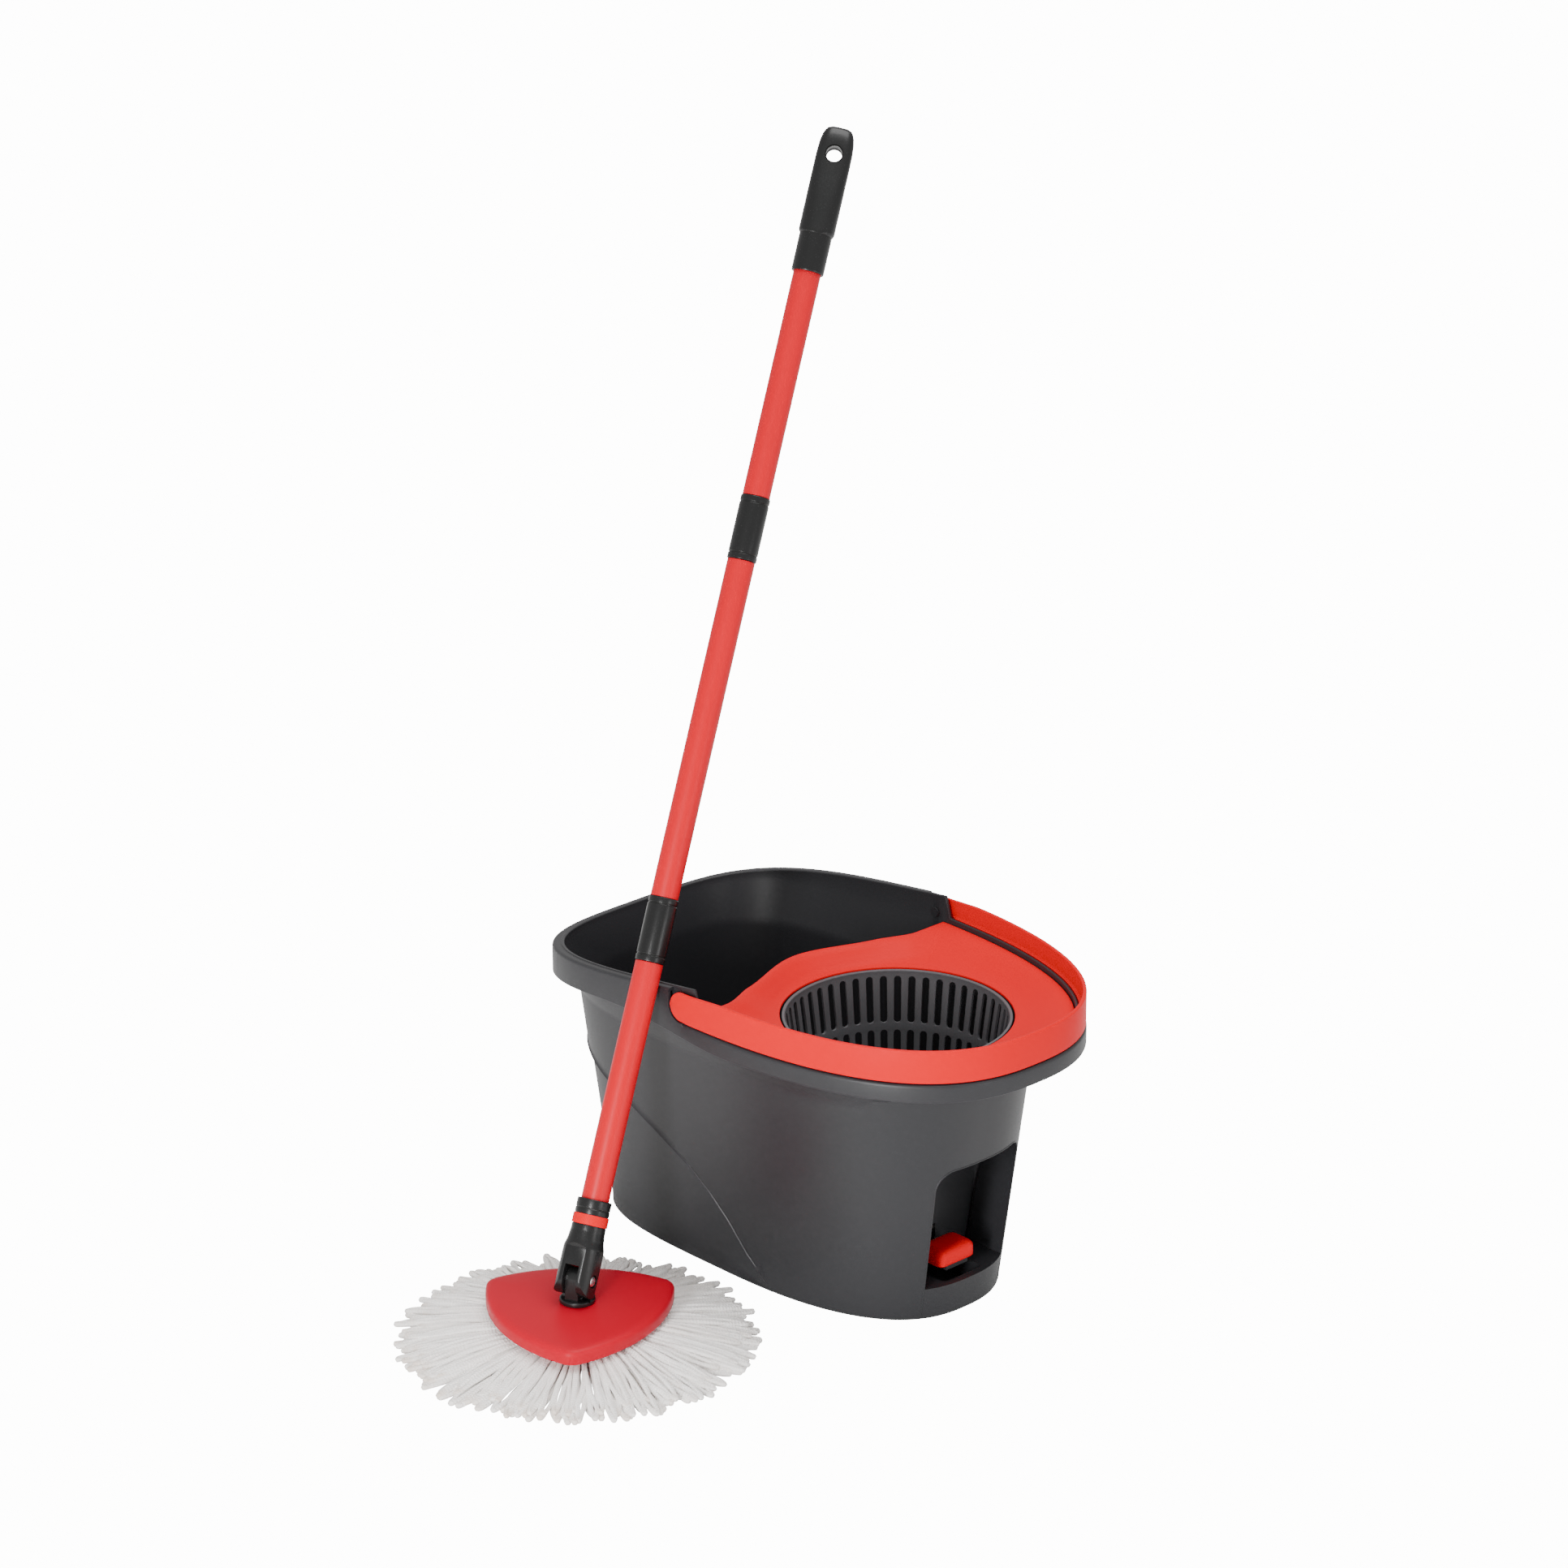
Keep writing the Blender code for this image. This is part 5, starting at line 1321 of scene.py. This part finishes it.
@dataclass
class Pedal:
    """The red pad on the lever, and the return spring."""

    x0: float = 0.143
    x1: float = 0.170
    side: float = 19.5 * MM
    z0: float = 0.0368
    z1: float = 0.0500

    def build(self, finishes: Finishes) -> None:
        """Make the pad of stacked rounded outlines, and the spring as a coil.

        Args:
            finishes: the materials.
        """
        rows = []
        for z, inset in ((self.z0, 0.6), (self.z0 + 0.6 * MM, 0.1), (self.z0 + 2 * MM, 0.0),
                         (self.z1 - 4.4 * MM, 0.2), (self.z1 - 2.6 * MM, 0.9), (self.z1 - 1.2 * MM, 2.2),
                         (self.z1 - 0.4 * MM, 4.2), (self.z1, 7.0)):
            inset *= MM
            x0, x1, side = self.x0 + inset, self.x1 - inset, self.side - inset
            corners = [np.array(c) for c in ((x0, -side), (x1, -side), (x1, side), (x0, side))]
            outline = fillet(corners, [max(2.0 * MM, 6.5 * MM - inset * 0.5)] * 4, 9, True)
            rows.append(np.concatenate([outline, np.full((len(outline), 1), z)], 1))
        finishes.dress(skin("pedal_cap", np.stack(rows)), Look.RED, "pedal", "pedal_pad")
        share = np.linspace(0.0, 1.0, 161)
        turn = FULL_TURN * 5 * share
        coil_r = 4 * MM
        path = np.stack([SPRING_X + coil_r * np.cos(turn), coil_r * np.sin(turn), 0.0052 + 0.0146 * share], -1)
        points, _ = tube_along(path, 0.6 * MM, 12)
        spring = finishes.dress(skin("return_spring", points), Look.STEEL, "bucket", "pedal_spring")
        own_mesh(spring)


# ------------------------------------------------------------------ mop


@dataclass
class MopHead:
    """The ring of yarn loops and the three-cornered plate over it."""

    x: float = HEAD_X
    y: float = HEAD_Y
    ring_r: float = 0.034
    outer_r: float = 0.1395
    corner_r: float = 0.083
    round_r: float = 14.0 * MM
    turn: float = math.radians(75.0)
    seed: int = 11

    def outline(self, inset: float, steps: int = 14) -> Array:
        """Give a rounded triangle of constant width: a small arc at each corner, a wide one opposite.

        Args:
            inset: how far it is moved in.
            steps: points on a small arc; a wide one has twice as many.

        Returns:
            Points x 2.
        """
        reach = self.corner_r - self.round_r
        side = reach * math.sqrt(3.0)
        parts = []
        for k in range(3):
            corner = self.turn + k * FULL_TURN / 3
            spot = reach * np.array([math.cos(corner), math.sin(corner)])
            t = corner - math.pi / 6 + math.pi / 3 * np.linspace(0, 1, steps)
            parts.append(spot + (self.round_r - inset) * np.stack([np.cos(t), np.sin(t)], -1))
            far = corner + 4 * math.pi / 3
            spot = reach * np.array([math.cos(far), math.sin(far)])
            t = far + math.pi - math.pi / 6 + math.pi / 3 * np.linspace(0, 1, steps * 2)[1:-1]
            parts.append(spot + (side + self.round_r - inset) * np.stack([np.cos(t), np.sin(t)], -1))
        return np.concatenate(parts)

    def plate(self, finishes: Finishes) -> None:
        """Make the plate: upright wall, wide rounded shoulder and a slightly crowned top.

        Args:
            finishes: the materials.
        """
        rows = []
        for z, inset in ((22.3, 0.5), (22.7, 0.1), (23.4, 0.0), (29.0, 0.0), (30.6, 0.25), (31.9, 0.9),
                         (32.8, 1.9), (33.5, 3.4), (34.0, 5.4), (34.35, 8.0)):
            flat = self.outline(inset * MM)
            rows.append(np.concatenate([flat, np.full((len(flat), 1), z * MM)], 1))
        for share in (0.75, 0.5, 0.28):
            flat = self.outline(8.0 * MM) * share
            z = 34.35 * MM + 1.15 * MM * (1.0 - share**2)
            rows.append(np.concatenate([flat, np.full((len(flat), 1), z)], 1))
        plate = skin("mop_plate", np.stack(rows))
        plate.data.transform(Matrix.Translation((self.x, self.y, 0.0)))
        carve(plate, drill(3.3 * MM, 0.0, 0.05, (self.x, self.y, 0.0), steps=32))
        finishes.dress(plate, Look.DEEP_RED, "mop_head", "head_plate")

    def strands(self, finishes: Finishes) -> None:
        """Make all loops in one mesh, each out along a ray, round a bend and back beside itself.

        A loop's distance from the axis is r0 + (R - r0) sin(pi t) ^ 0.62, its sideways place goes
        from -w to +w as -cos(pi t), and slow waves with seeded phases bend both legs.

        Args:
            finishes: the materials.
        """
        rng = np.random.default_rng(self.seed)
        layers = ((84, 17.0, 6.6, 0.93, 2.05), (88, 12.8, 4.6, 1.0, 2.10), (84, 8.0, 2.8, 0.98, 2.15))
        count, sides = 40, 7
        points, faces, along, tone, end, around_share = [], [], [], [], [], []
        base = 0
        grid = np.arange(count * sides).reshape(count, sides)
        quads = np.stack([grid[:-1], np.roll(grid, -1, 1)[:-1], np.roll(grid, -1, 1)[1:], grid[1:]], -1)
        for loops, z_in, z_out, reach, radius in layers:
            for k in range(loops):
                heading = FULL_TURN * (k + rng.uniform(-0.28, 0.28)) / loops + 0.7 * z_in
                far = self.outer_r * reach * rng.uniform(0.93, 1.035)
                half = rng.uniform(2.5, 4.4) * MM
                t = np.linspace(0.0, 1.0, count)
                swing = np.sin(math.pi * t)
                r = self.ring_r + (far - self.ring_r) * swing**0.62
                out = (r - self.ring_r) / (far - self.ring_r)
                side = -np.cos(math.pi * t) * half * (0.55 + 0.75 * out)
                bend = rng.uniform(-9.0, 9.0) * MM * out**2
                wave = rng.uniform(0.5, 1.7) * MM * np.sin(out * rng.uniform(5, 11) + rng.uniform(0, PHASE))
                side = side + bend + wave * out
                z = (z_in + (z_out - z_in) * out**1.6) * MM
                z = z + rng.uniform(-0.6, 1.5) * MM * np.sin(math.pi * out)
                z = z + rng.uniform(-0.7, 0.9) * MM * (1 - swing)
                ripple = np.sin(out * rng.uniform(6, 12) + rng.uniform(0, PHASE))
                z = z + 0.8 * MM * ripple * out * (1 - out) * 2
                z = np.clip(z, 2.6 * MM, None)
                c, s = math.cos(heading), math.sin(heading)
                path = np.stack([self.x + r * c - side * s, self.y + r * s + side * c, z], -1)
                width = radius * MM * (0.90 + 0.14 * np.sin(7.0 * t * math.pi + rng.uniform(0, PHASE)))
                width = width * (1.0 + 0.10 * out)
                tube, share = tube_along(path, width, sides)
                run = np.concatenate([[0.0], np.cumsum(np.linalg.norm(np.diff(path, axis=0), axis=1))])
                points.append(tube.reshape(-1, 3))
                faces += (quads.reshape(-1, 4) + base).tolist()
                faces.append((grid[0][::-1] + base).tolist())
                faces.append((grid[-1] + base).tolist())
                along.append(np.repeat(run, sides))
                tone.append(np.full(count * sides, rng.uniform(0.0, 0.7)))
                end.append(np.repeat(smoothstep((out - 0.90) / 0.10) * rng.uniform(0.0, 0.8)
                                     * (0.5 - 0.5 * s), sides))
                around_share.append(np.tile(share, count))
                base += count * sides
        cloud = np.concatenate(points)
        cloud[:, 2] = np.maximum(cloud[:, 2], 0.15 * MM)
        reach = np.hypot(cloud[:, 0] - self.x, cloud[:, 1] - self.y)
        roof = 22.0 * MM + 2.5 * MM * smoothstep((reach - 0.088) / 0.02)
        cloud[:, 2] = np.minimum(cloud[:, 2], roof)
        mesh = bpy.data.meshes.new("yarn_loops")
        mesh.from_pydata(cloud.tolist(), [], faces)
        for name, values in (("along", along), ("tone", tone), ("end", end), ("around", around_share)):
            layer = mesh.attributes.new(name, "FLOAT", "POINT")
            layer.data.foreach_set("value", np.concatenate(values).astype(np.float32))
        bm = bmesh.new()
        bm.from_mesh(mesh)
        bmesh.ops.recalc_face_normals(bm, faces=bm.faces)
        bm.to_mesh(mesh)
        bm.free()
        finishes.dress(link("yarn_loops", mesh), Look.YARN, "mop_head", "refill")

    def swivel(self, finishes: Finishes) -> None:
        """Make the joint block: a round foot on the plate and a tongue for the fork.

        Args:
            finishes: the materials.
        """
        low, high = 36.2 * MM, 40.0 * MM
        base = turned("swivel_block", [(0.0, low), (14.0 * MM, low), (14.0 * MM, 39.2 * MM),
                                       (12.6 * MM, high), (0.0, high)],
                      [0, 0.3 * MM, 0.8 * MM, 0.6 * MM, 0])
        t = np.linspace(0.0, math.pi, 24)
        tongue = np.concatenate([[(-10.0 * MM, 0.038), (10.0 * MM, 0.038)],
                                 np.stack([8.5 * MM * np.cos(t), JOINT_Z + 8.5 * MM * np.sin(t)], -1)])
        carve(base, prism("cutter", tongue, -5.7 * MM, 5.7 * MM, "X"), operation="UNION")
        carve(base, drill(3.05 * MM, 0.02, 0.0395, (0.0, 0.0, 0.0)),
              drill(2.45 * MM, -0.02, 0.02, (0.0, 0.0, JOINT_Z), "X"),
              brick((-0.02, -4.8 * MM, 0.0384), (0.02, 4.8 * MM, 0.0409)))
        base.data.transform(Matrix.Translation((self.x, self.y, 0.0)) @ Matrix.Rotation(PIN_TURN, 4, "Z"))
        finishes.dress(base, Look.BLACK, "swivel_base", "swivel_base")

    def build(self, finishes: Finishes) -> None:
        """Make the head's pieces.

        Args:
            finishes: the materials.
        """
        self.strands(finishes)
        self.plate(finishes)
        self.swivel(finishes)


@dataclass
class MopHandle:
    """Fork, three tubes, two connectors and the end grip, built upright and then leaned."""

    tube_r: float = 11.0 * MM
    tube_t: float = 1.2 * MM
    socket_r: float = 13.5 * MM
    barrel_r: float = 11.75 * MM
    lower_barrel: tuple[float, float] = (0.251, 0.302)
    upper_barrel: tuple[float, float] = (0.573, 0.624)
    grip_start: float = 0.806
    grip_step: float = 0.837
    grip_end: float = 0.924
    grip_turn: float = math.radians(24.0)

    def lean(self, piece: bpy.types.Object) -> bpy.types.Object:
        """Carry an upright piece to the joint and lean it on the rim.

        Args:
            piece: the piece, built up +Z from the joint.

        Returns:
            The same piece.
        """
        turn = Euler((-LEAN, 0.0, PIN_TURN)).to_matrix().to_4x4()
        piece.data.transform(Matrix.Translation((HEAD_X, HEAD_Y, JOINT_Z)) @ turn)
        return piece

    def fork(self, finishes: Finishes) -> None:
        """Make the fork and its socket, the coloured ring and the pivot screw.

        Args:
            finishes: the materials.
        """
        radius = self.socket_r
        profile = [(0.0, -15.0), (16.0, -15.0), (16.0, 24.0), (14.5, 29.0), (13.5, 37.0), (13.5, 41.5),
                   (13.1, 41.5), (13.1, 50.5), (13.5, 50.5), (13.5, 54.0), (13.0, 54.6), (13.5, 55.2),
                   (13.5, 62.0), (11.3, 62.0), (11.3, 34.0), (0.0, 34.0)]
        rounds = [0, 0, 1.5, 2.0, 1.0, 0.1, 0, 0, 0.1, 0.2, 0.3, 0.2, 0.8, 0.3, 0, 0]
        body = turned("fork_body", [(a * MM, b * MM) for a, b in profile], [r * MM for r in rounds], 72)
        t = math.pi + np.linspace(0.0, math.pi, 30)
        wide, narrow = 17.0 * MM, 13.5 * MM
        slab = np.concatenate([[(wide, 0.030), (wide, 0.07), (-wide, 0.07), (-wide, 0.030), (-narrow, 0.024)],
                               np.stack([narrow * np.cos(t), narrow * np.sin(t)], -1), [(narrow, 0.024)]])
        carve(body, prism("cutter", slab, -0.02, 0.02, "X"), operation="INTERSECT")
        carve(body, brick((14.5 * MM, -0.02, -0.02), (0.03, 0.02, 0.0235)),
              brick((-0.03, -0.02, -0.02), (-14.5 * MM, 0.02, 0.0235)),
              brick((-6.0 * MM, -0.03, -0.03), (6.0 * MM, 0.03, 0.0096)))
        soften(body, 0.8 * MM, 40.0)
        carve(body, drill(2.7 * MM, -0.02, 0.02, (0.0, 0.0, 0.0), "X"),
              drill(5.2 * MM, 11.8 * MM, 0.02, (0.0, 0.0, 0.0), "X"),
              drill(5.2 * MM, -0.02, -11.2 * MM, (0.0, 0.0, 0.0), "X"))
        finishes.dress(self.lean(body), Look.BLACK, "mop_handle", "fork_socket")
        ring = turned("socket_ring", [(radius - 0.1 * MM, 0.0420), (radius + 0.6 * MM, 0.0420),
                                      (radius + 0.6 * MM, 0.0500), (radius - 0.1 * MM, 0.0500)],
                      [0, 0.35 * MM, 0.35 * MM, 0], 72, True)
        finishes.dress(self.lean(ring), Look.RED, "mop_handle", "colour_ring")
        screw = turned("joint_screw", [(0.0, -14.0 * MM), (2.4 * MM, -14.0 * MM), (2.4 * MM, 12.1 * MM),
                                       (4.4 * MM, 12.1 * MM), (4.4 * MM, 13.6 * MM), (3.2 * MM, 14.4 * MM),
                                       (0.0, 14.5 * MM)], [0, 0.2 * MM, 0, 0.2 * MM, 0.7 * MM, 0.7 * MM, 0], 48)
        long, half, deep = 3.0 * MM, 0.45 * MM, 13.4 * MM
        slots = [brick((-long, -half, deep), (long, half, 0.02)),
                 brick((-half, -long, deep), (half, long, 0.02))]
        carve(screw, *slots)
        across = Matrix.Rotation(math.radians(90.0), 4, "Y")
        screw.data.transform(across @ Matrix.Rotation(math.radians(28.0), 4, "Z"))
        finishes.dress(self.lean(screw), Look.STEEL, "mop_handle", "pivot_screw")

    def tube(self, name: str, low: float, high: float, node: str, finishes: Finishes) -> None:
        """Make one length of tube with turned-in ends.

        Args:
            name: the piece's name.
            low: where it starts, up the handle from the joint.
            high: where it ends.
            node: the CAD node that it replaces.
            finishes: the materials.
        """
        outer, inner = self.tube_r, self.tube_r - self.tube_t
        piece = turned(name, [(inner, low), (outer, low), (outer, high), (inner, high)],
                       [0.3 * MM, 0.5 * MM, 0.5 * MM, 0.3 * MM], 72, True)
        finishes.dress(self.lean(piece), Look.RED_PAINT, "mop_handle", node)

    def connector(self, name: str, span: tuple[float, float], node: str, finishes: Finishes) -> None:
        """Make a barrel between two tubes, with a groove near each end and spigots in the tubes.

        Args:
            name: the piece's name.
            span: where the barrel starts and ends, up the handle from the joint.
            node: the CAD node that it replaces.
            finishes: the materials.
        """
        low, high = span
        spigot = self.tube_r - self.tube_t - GAP
        barrel = self.barrel_r
        reach = 22.0 * MM
        groove = 0.5 * MM
        corners = [(0.0, low - reach), (spigot - 0.6 * MM, low - reach), (spigot, low - reach + 2 * MM),
                   (spigot, low), (barrel, low), (barrel, low + 4.2 * MM), (barrel - groove, low + 4.6 * MM),
                   (barrel - groove, low + 5.4 * MM), (barrel, low + 5.8 * MM), (barrel, high - 5.8 * MM),
                   (barrel - groove, high - 5.4 * MM), (barrel - groove, high - 4.6 * MM),
                   (barrel, high - 4.2 * MM), (barrel, high), (spigot, high), (spigot, high + reach - 2 * MM),
                   (spigot - 0.6 * MM, high + reach), (0.0, high + reach)]
        radii = [0, 0.3, 0.5, 0, 0.7, 0.2, 0.1, 0.1, 0.2, 0.2, 0.1, 0.1, 0.2, 0.7, 0, 0.5, 0.3, 0]
        piece = turned(name, corners, [r * MM for r in radii], 72)
        finishes.dress(self.lean(piece), Look.BLACK, "mop_handle", node)

    def grip(self, finishes: Finishes) -> None:
        """Make a sleeve that flattens to a paddle: superellipse sections |a/rx|^n + |b/ry|^n = 1.

        Args:
            finishes: the materials.
        """
        start, step, end = self.grip_start, self.grip_step, self.grip_end
        heights = [start, start + 0.4 * MM, start + 1.4 * MM, step - 1.0 * MM, step - 0.2 * MM, step + 0.2 * MM,
                   step + 1.2 * MM, step + 3.0 * MM, 0.855, 0.870, 0.882, 0.895, 0.904, 0.912, 0.917, 0.9205,
                   0.9228, end]
        wide = [12.5, 12.85, 12.95, 13.0, 13.0, 13.5, 14.1, 14.35, 14.35, 14.35, 14.35, 14.35, 14.2, 13.6, 12.6,
                11.2, 9.4, 6.6]
        thin = [12.5, 12.85, 12.95, 13.0, 13.0, 13.2, 13.2, 13.0, 12.1, 11.0, 9.8, 8.6, 8.1, 7.7, 7.1, 6.2,
                5.0, 3.2]
        square = [2.0, 2.0, 2.0, 2.0, 2.0, 2.1, 2.2, 2.3, 2.5, 2.7, 2.9, 3.0, 3.0, 3.0, 3.0, 2.9, 2.8, 2.6]
        turn = circle(96)
        c, s = np.cos(turn), np.sin(turn)
        power = 2.0 / np.array(square)[:, None]
        a = np.array(wide)[:, None] * MM * np.sign(c) * np.abs(c) ** power
        b = np.array(thin)[:, None] * MM * np.sign(s) * np.abs(s) ** power
        points = np.stack([a, b, np.broadcast_to(np.array(heights)[:, None], a.shape)], -1)
        body = skin("end_grip", points)
        hole_z = 0.902
        hole = drill(6.5 * MM, -0.02, 0.02, (0.0, 0.0, hole_z), "Y")
        carve(body, hole, drill(11.3 * MM, start - 0.01, 0.856, (0.0, 0.0, 0.0)))
        for side in (-1, 1):
            rim = turned("cutter", [(6.2 * MM, -1.0 * MM), (9.2 * MM, 3.4 * MM), (6.2 * MM, 3.4 * MM)],
                         [0, 0, 0], 48, True)
            outward = Matrix.Rotation(math.radians(-90.0 * side), 4, "X")
            rim.data.transform(Matrix.Translation((0.0, side * 7.4 * MM, hole_z)) @ outward)
            carve(body, rim)
        body.data.transform(Matrix.Rotation(self.grip_turn, 4, "Z"))
        finishes.dress(self.lean(body), Look.BLACK, "mop_handle", "grip")

    def build(self, finishes: Finishes) -> None:
        """Make the handle's pieces.

        Args:
            finishes: the materials.
        """
        self.fork(finishes)
        self.tube("tube_first", 0.0345, self.lower_barrel[0] - GAP, "tube_lower", finishes)
        self.connector("joint_lower", self.lower_barrel, "connector_lower", finishes)
        self.tube("tube_second", self.lower_barrel[1] + GAP, self.upper_barrel[0] - GAP, "tube_middle",
                  finishes)
        self.connector("joint_upper", self.upper_barrel, "connector_upper", finishes)
        self.tube("tube_third", self.upper_barrel[1] + GAP, 0.8555, "tube_upper", finishes)
        self.grip(finishes)


# ------------------------------------------------------------------ studio


@dataclass
class Studio:
    """Camera, soft lights, pale surroundings and the floor."""

    eye: Triple = (2.8704, -2.7625, 1.9506)
    ahead: Triple = (-0.6742, 0.6424, -0.3644)
    lens: float = 125.4
    glow: float = 14.0
    sky: float = 0.80

    def camera(self) -> None:
        """Set the camera from its place and its direction."""
        data = bpy.data.cameras.new("camera")
        data.lens = self.lens
        data.sensor_width = 36.0
        data.dof.use_dof = False
        camera = bpy.data.objects.new("camera", data)
        back = -Vector(self.ahead).normalized()
        right = Vector((0.0, 0.0, 1.0)).cross(back).normalized()
        up = back.cross(right)
        turn = Matrix((right, up, back)).transposed().to_4x4()
        camera.matrix_world = Matrix.Translation(self.eye) @ turn
        bpy.context.scene.collection.objects.link(camera)
        bpy.context.scene.camera = camera

    def light(self, name: str, place: Sequence[float], aim: Sequence[float], size: tuple[float, float],
              power: float) -> None:
        """Add one soft rectangular light.

        Args:
            name: the light's name.
            place: where it stands.
            aim: the point that it faces.
            size: its width and height.
            power: watts.
        """
        data = bpy.data.lights.new(name, "AREA")
        data.shape = "RECTANGLE"
        data.size, data.size_y = size
        data.energy = power
        lamp = bpy.data.objects.new(name, data)
        lamp.location = place
        lamp.rotation_euler = (Vector(aim) - Vector(place)).to_track_quat("-Z", "Y").to_euler()
        bpy.context.scene.collection.objects.link(lamp)

    def floor(self) -> None:
        """Lay a wide pale floor with a faint mottle, which looks lit to white but throws no extra light."""
        half = 6.0
        grid = np.array([[(-half, -half, 0), (half, -half, 0)], [(-half, half, 0), (half, half, 0)]])
        floor = skin("floor", grid, wrap_cols=False, caps=False)
        if floor.data.polygons[0].normal.z < 0:
            floor.data.flip_normals()
        paint = Paint("pale_floor")
        drift = paint.noise(1.5, 2.0)
        paint.set(Base_Color=paint.blend(drift, (0.94, 0.94, 0.935), (0.96, 0.96, 0.955)), Roughness=0.75)
        seen = paint.node("ShaderNodeLightPath", {}, {}).outputs["Is Camera Ray"]
        white = paint.node("ShaderNodeEmission", {}, {"Color": (1.0, 1.0, 0.985, 1.0), "Strength": self.glow})
        mixed = paint.node("ShaderNodeMixShader", {}, {0: seen, 1: paint.shader.outputs["BSDF"],
                                                       2: white.outputs["Emission"]})
        paint.feed(paint.tree.nodes["Material Output"].inputs["Surface"], mixed.outputs[0])
        floor.data.materials.append(paint.material)
        floor.location.z = -0.2 * MM

    def surroundings(self) -> None:
        """Set an even, very light sky."""
        world = bpy.data.worlds.new("studio")
        world.use_nodes = True
        shade = world.node_tree.nodes["Background"]
        shade.inputs["Color"].default_value = (1.0, 0.995, 0.985, 1.0)
        shade.inputs["Strength"].default_value = self.sky
        bpy.context.scene.world = world

    def build(self) -> None:
        """Set everything around the object."""
        self.camera()
        self.floor()
        self.surroundings()
        self.light("strip", (0.66, -1.55, 0.42), (0.12, -0.10, 0.12), (0.20, 0.85), 29.0)
        self.light("recess_fill", (1.9, 0.1, 0.45), (0.15, 0.0, 0.08), (0.5, 0.5), 5.0)
        self.light("top", (0.4, 0.3, 3.0), (0.0, 0.0, 0.0), (2.0, 2.0), 80.0)


def main() -> None:
    """Build every assembly around the frame, in order."""
    logging.basicConfig(level=logging.INFO, format="%(message)s")
    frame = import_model()
    Studio().build()
    finishes = Finishes()
    for look, nodes in (
        (Look.CHARCOAL, ("base_cover", "pedal_arm", "handle_pin_front", "handle_pin_back")),
        (Look.STEEL, ("cover_screw_1", "cover_screw_2", "cover_screw_3", "cover_screw_4", "gear_plate_screw_1",
                      "gear_plate_screw_2", "step_gear_axle", "pedal_axle", "drive_shaft", "clutch_race",
                      "basket_screw", "clutch_roller_1", "clutch_roller_2", "clutch_roller_3", "pivot_nut",
                      "head_spindle")),
        (Look.ACETAL, ("gear_plate", "rack_guide", "drive_rack", "step_gear", "thrust_washer", "clutch_ring")),
        (Look.BRONZE, ("lower_bush", "upper_bush")),
        (Look.RUBBER, ("shaft_seal",)),
        (Look.DEEP_RED, ("retainer_ring",)),
    ):
        finishes.repaint(frame, look, *nodes)
    builders: list[tuple[str, Callable[[Finishes], None]]] = [
        ("bucket", Bucket().build),
        ("deck", Deck().build),
        ("carry handle", CarryHandle().build),
        ("basket", Basket().build),
        ("pedal", Pedal().build),
        ("mop head", MopHead().build),
        ("mop handle", MopHandle().build),
    ]
    for name, build in builders:
        build(finishes)
        LOG.info("built the %s", name)


if __name__ == "__main__":
    main()
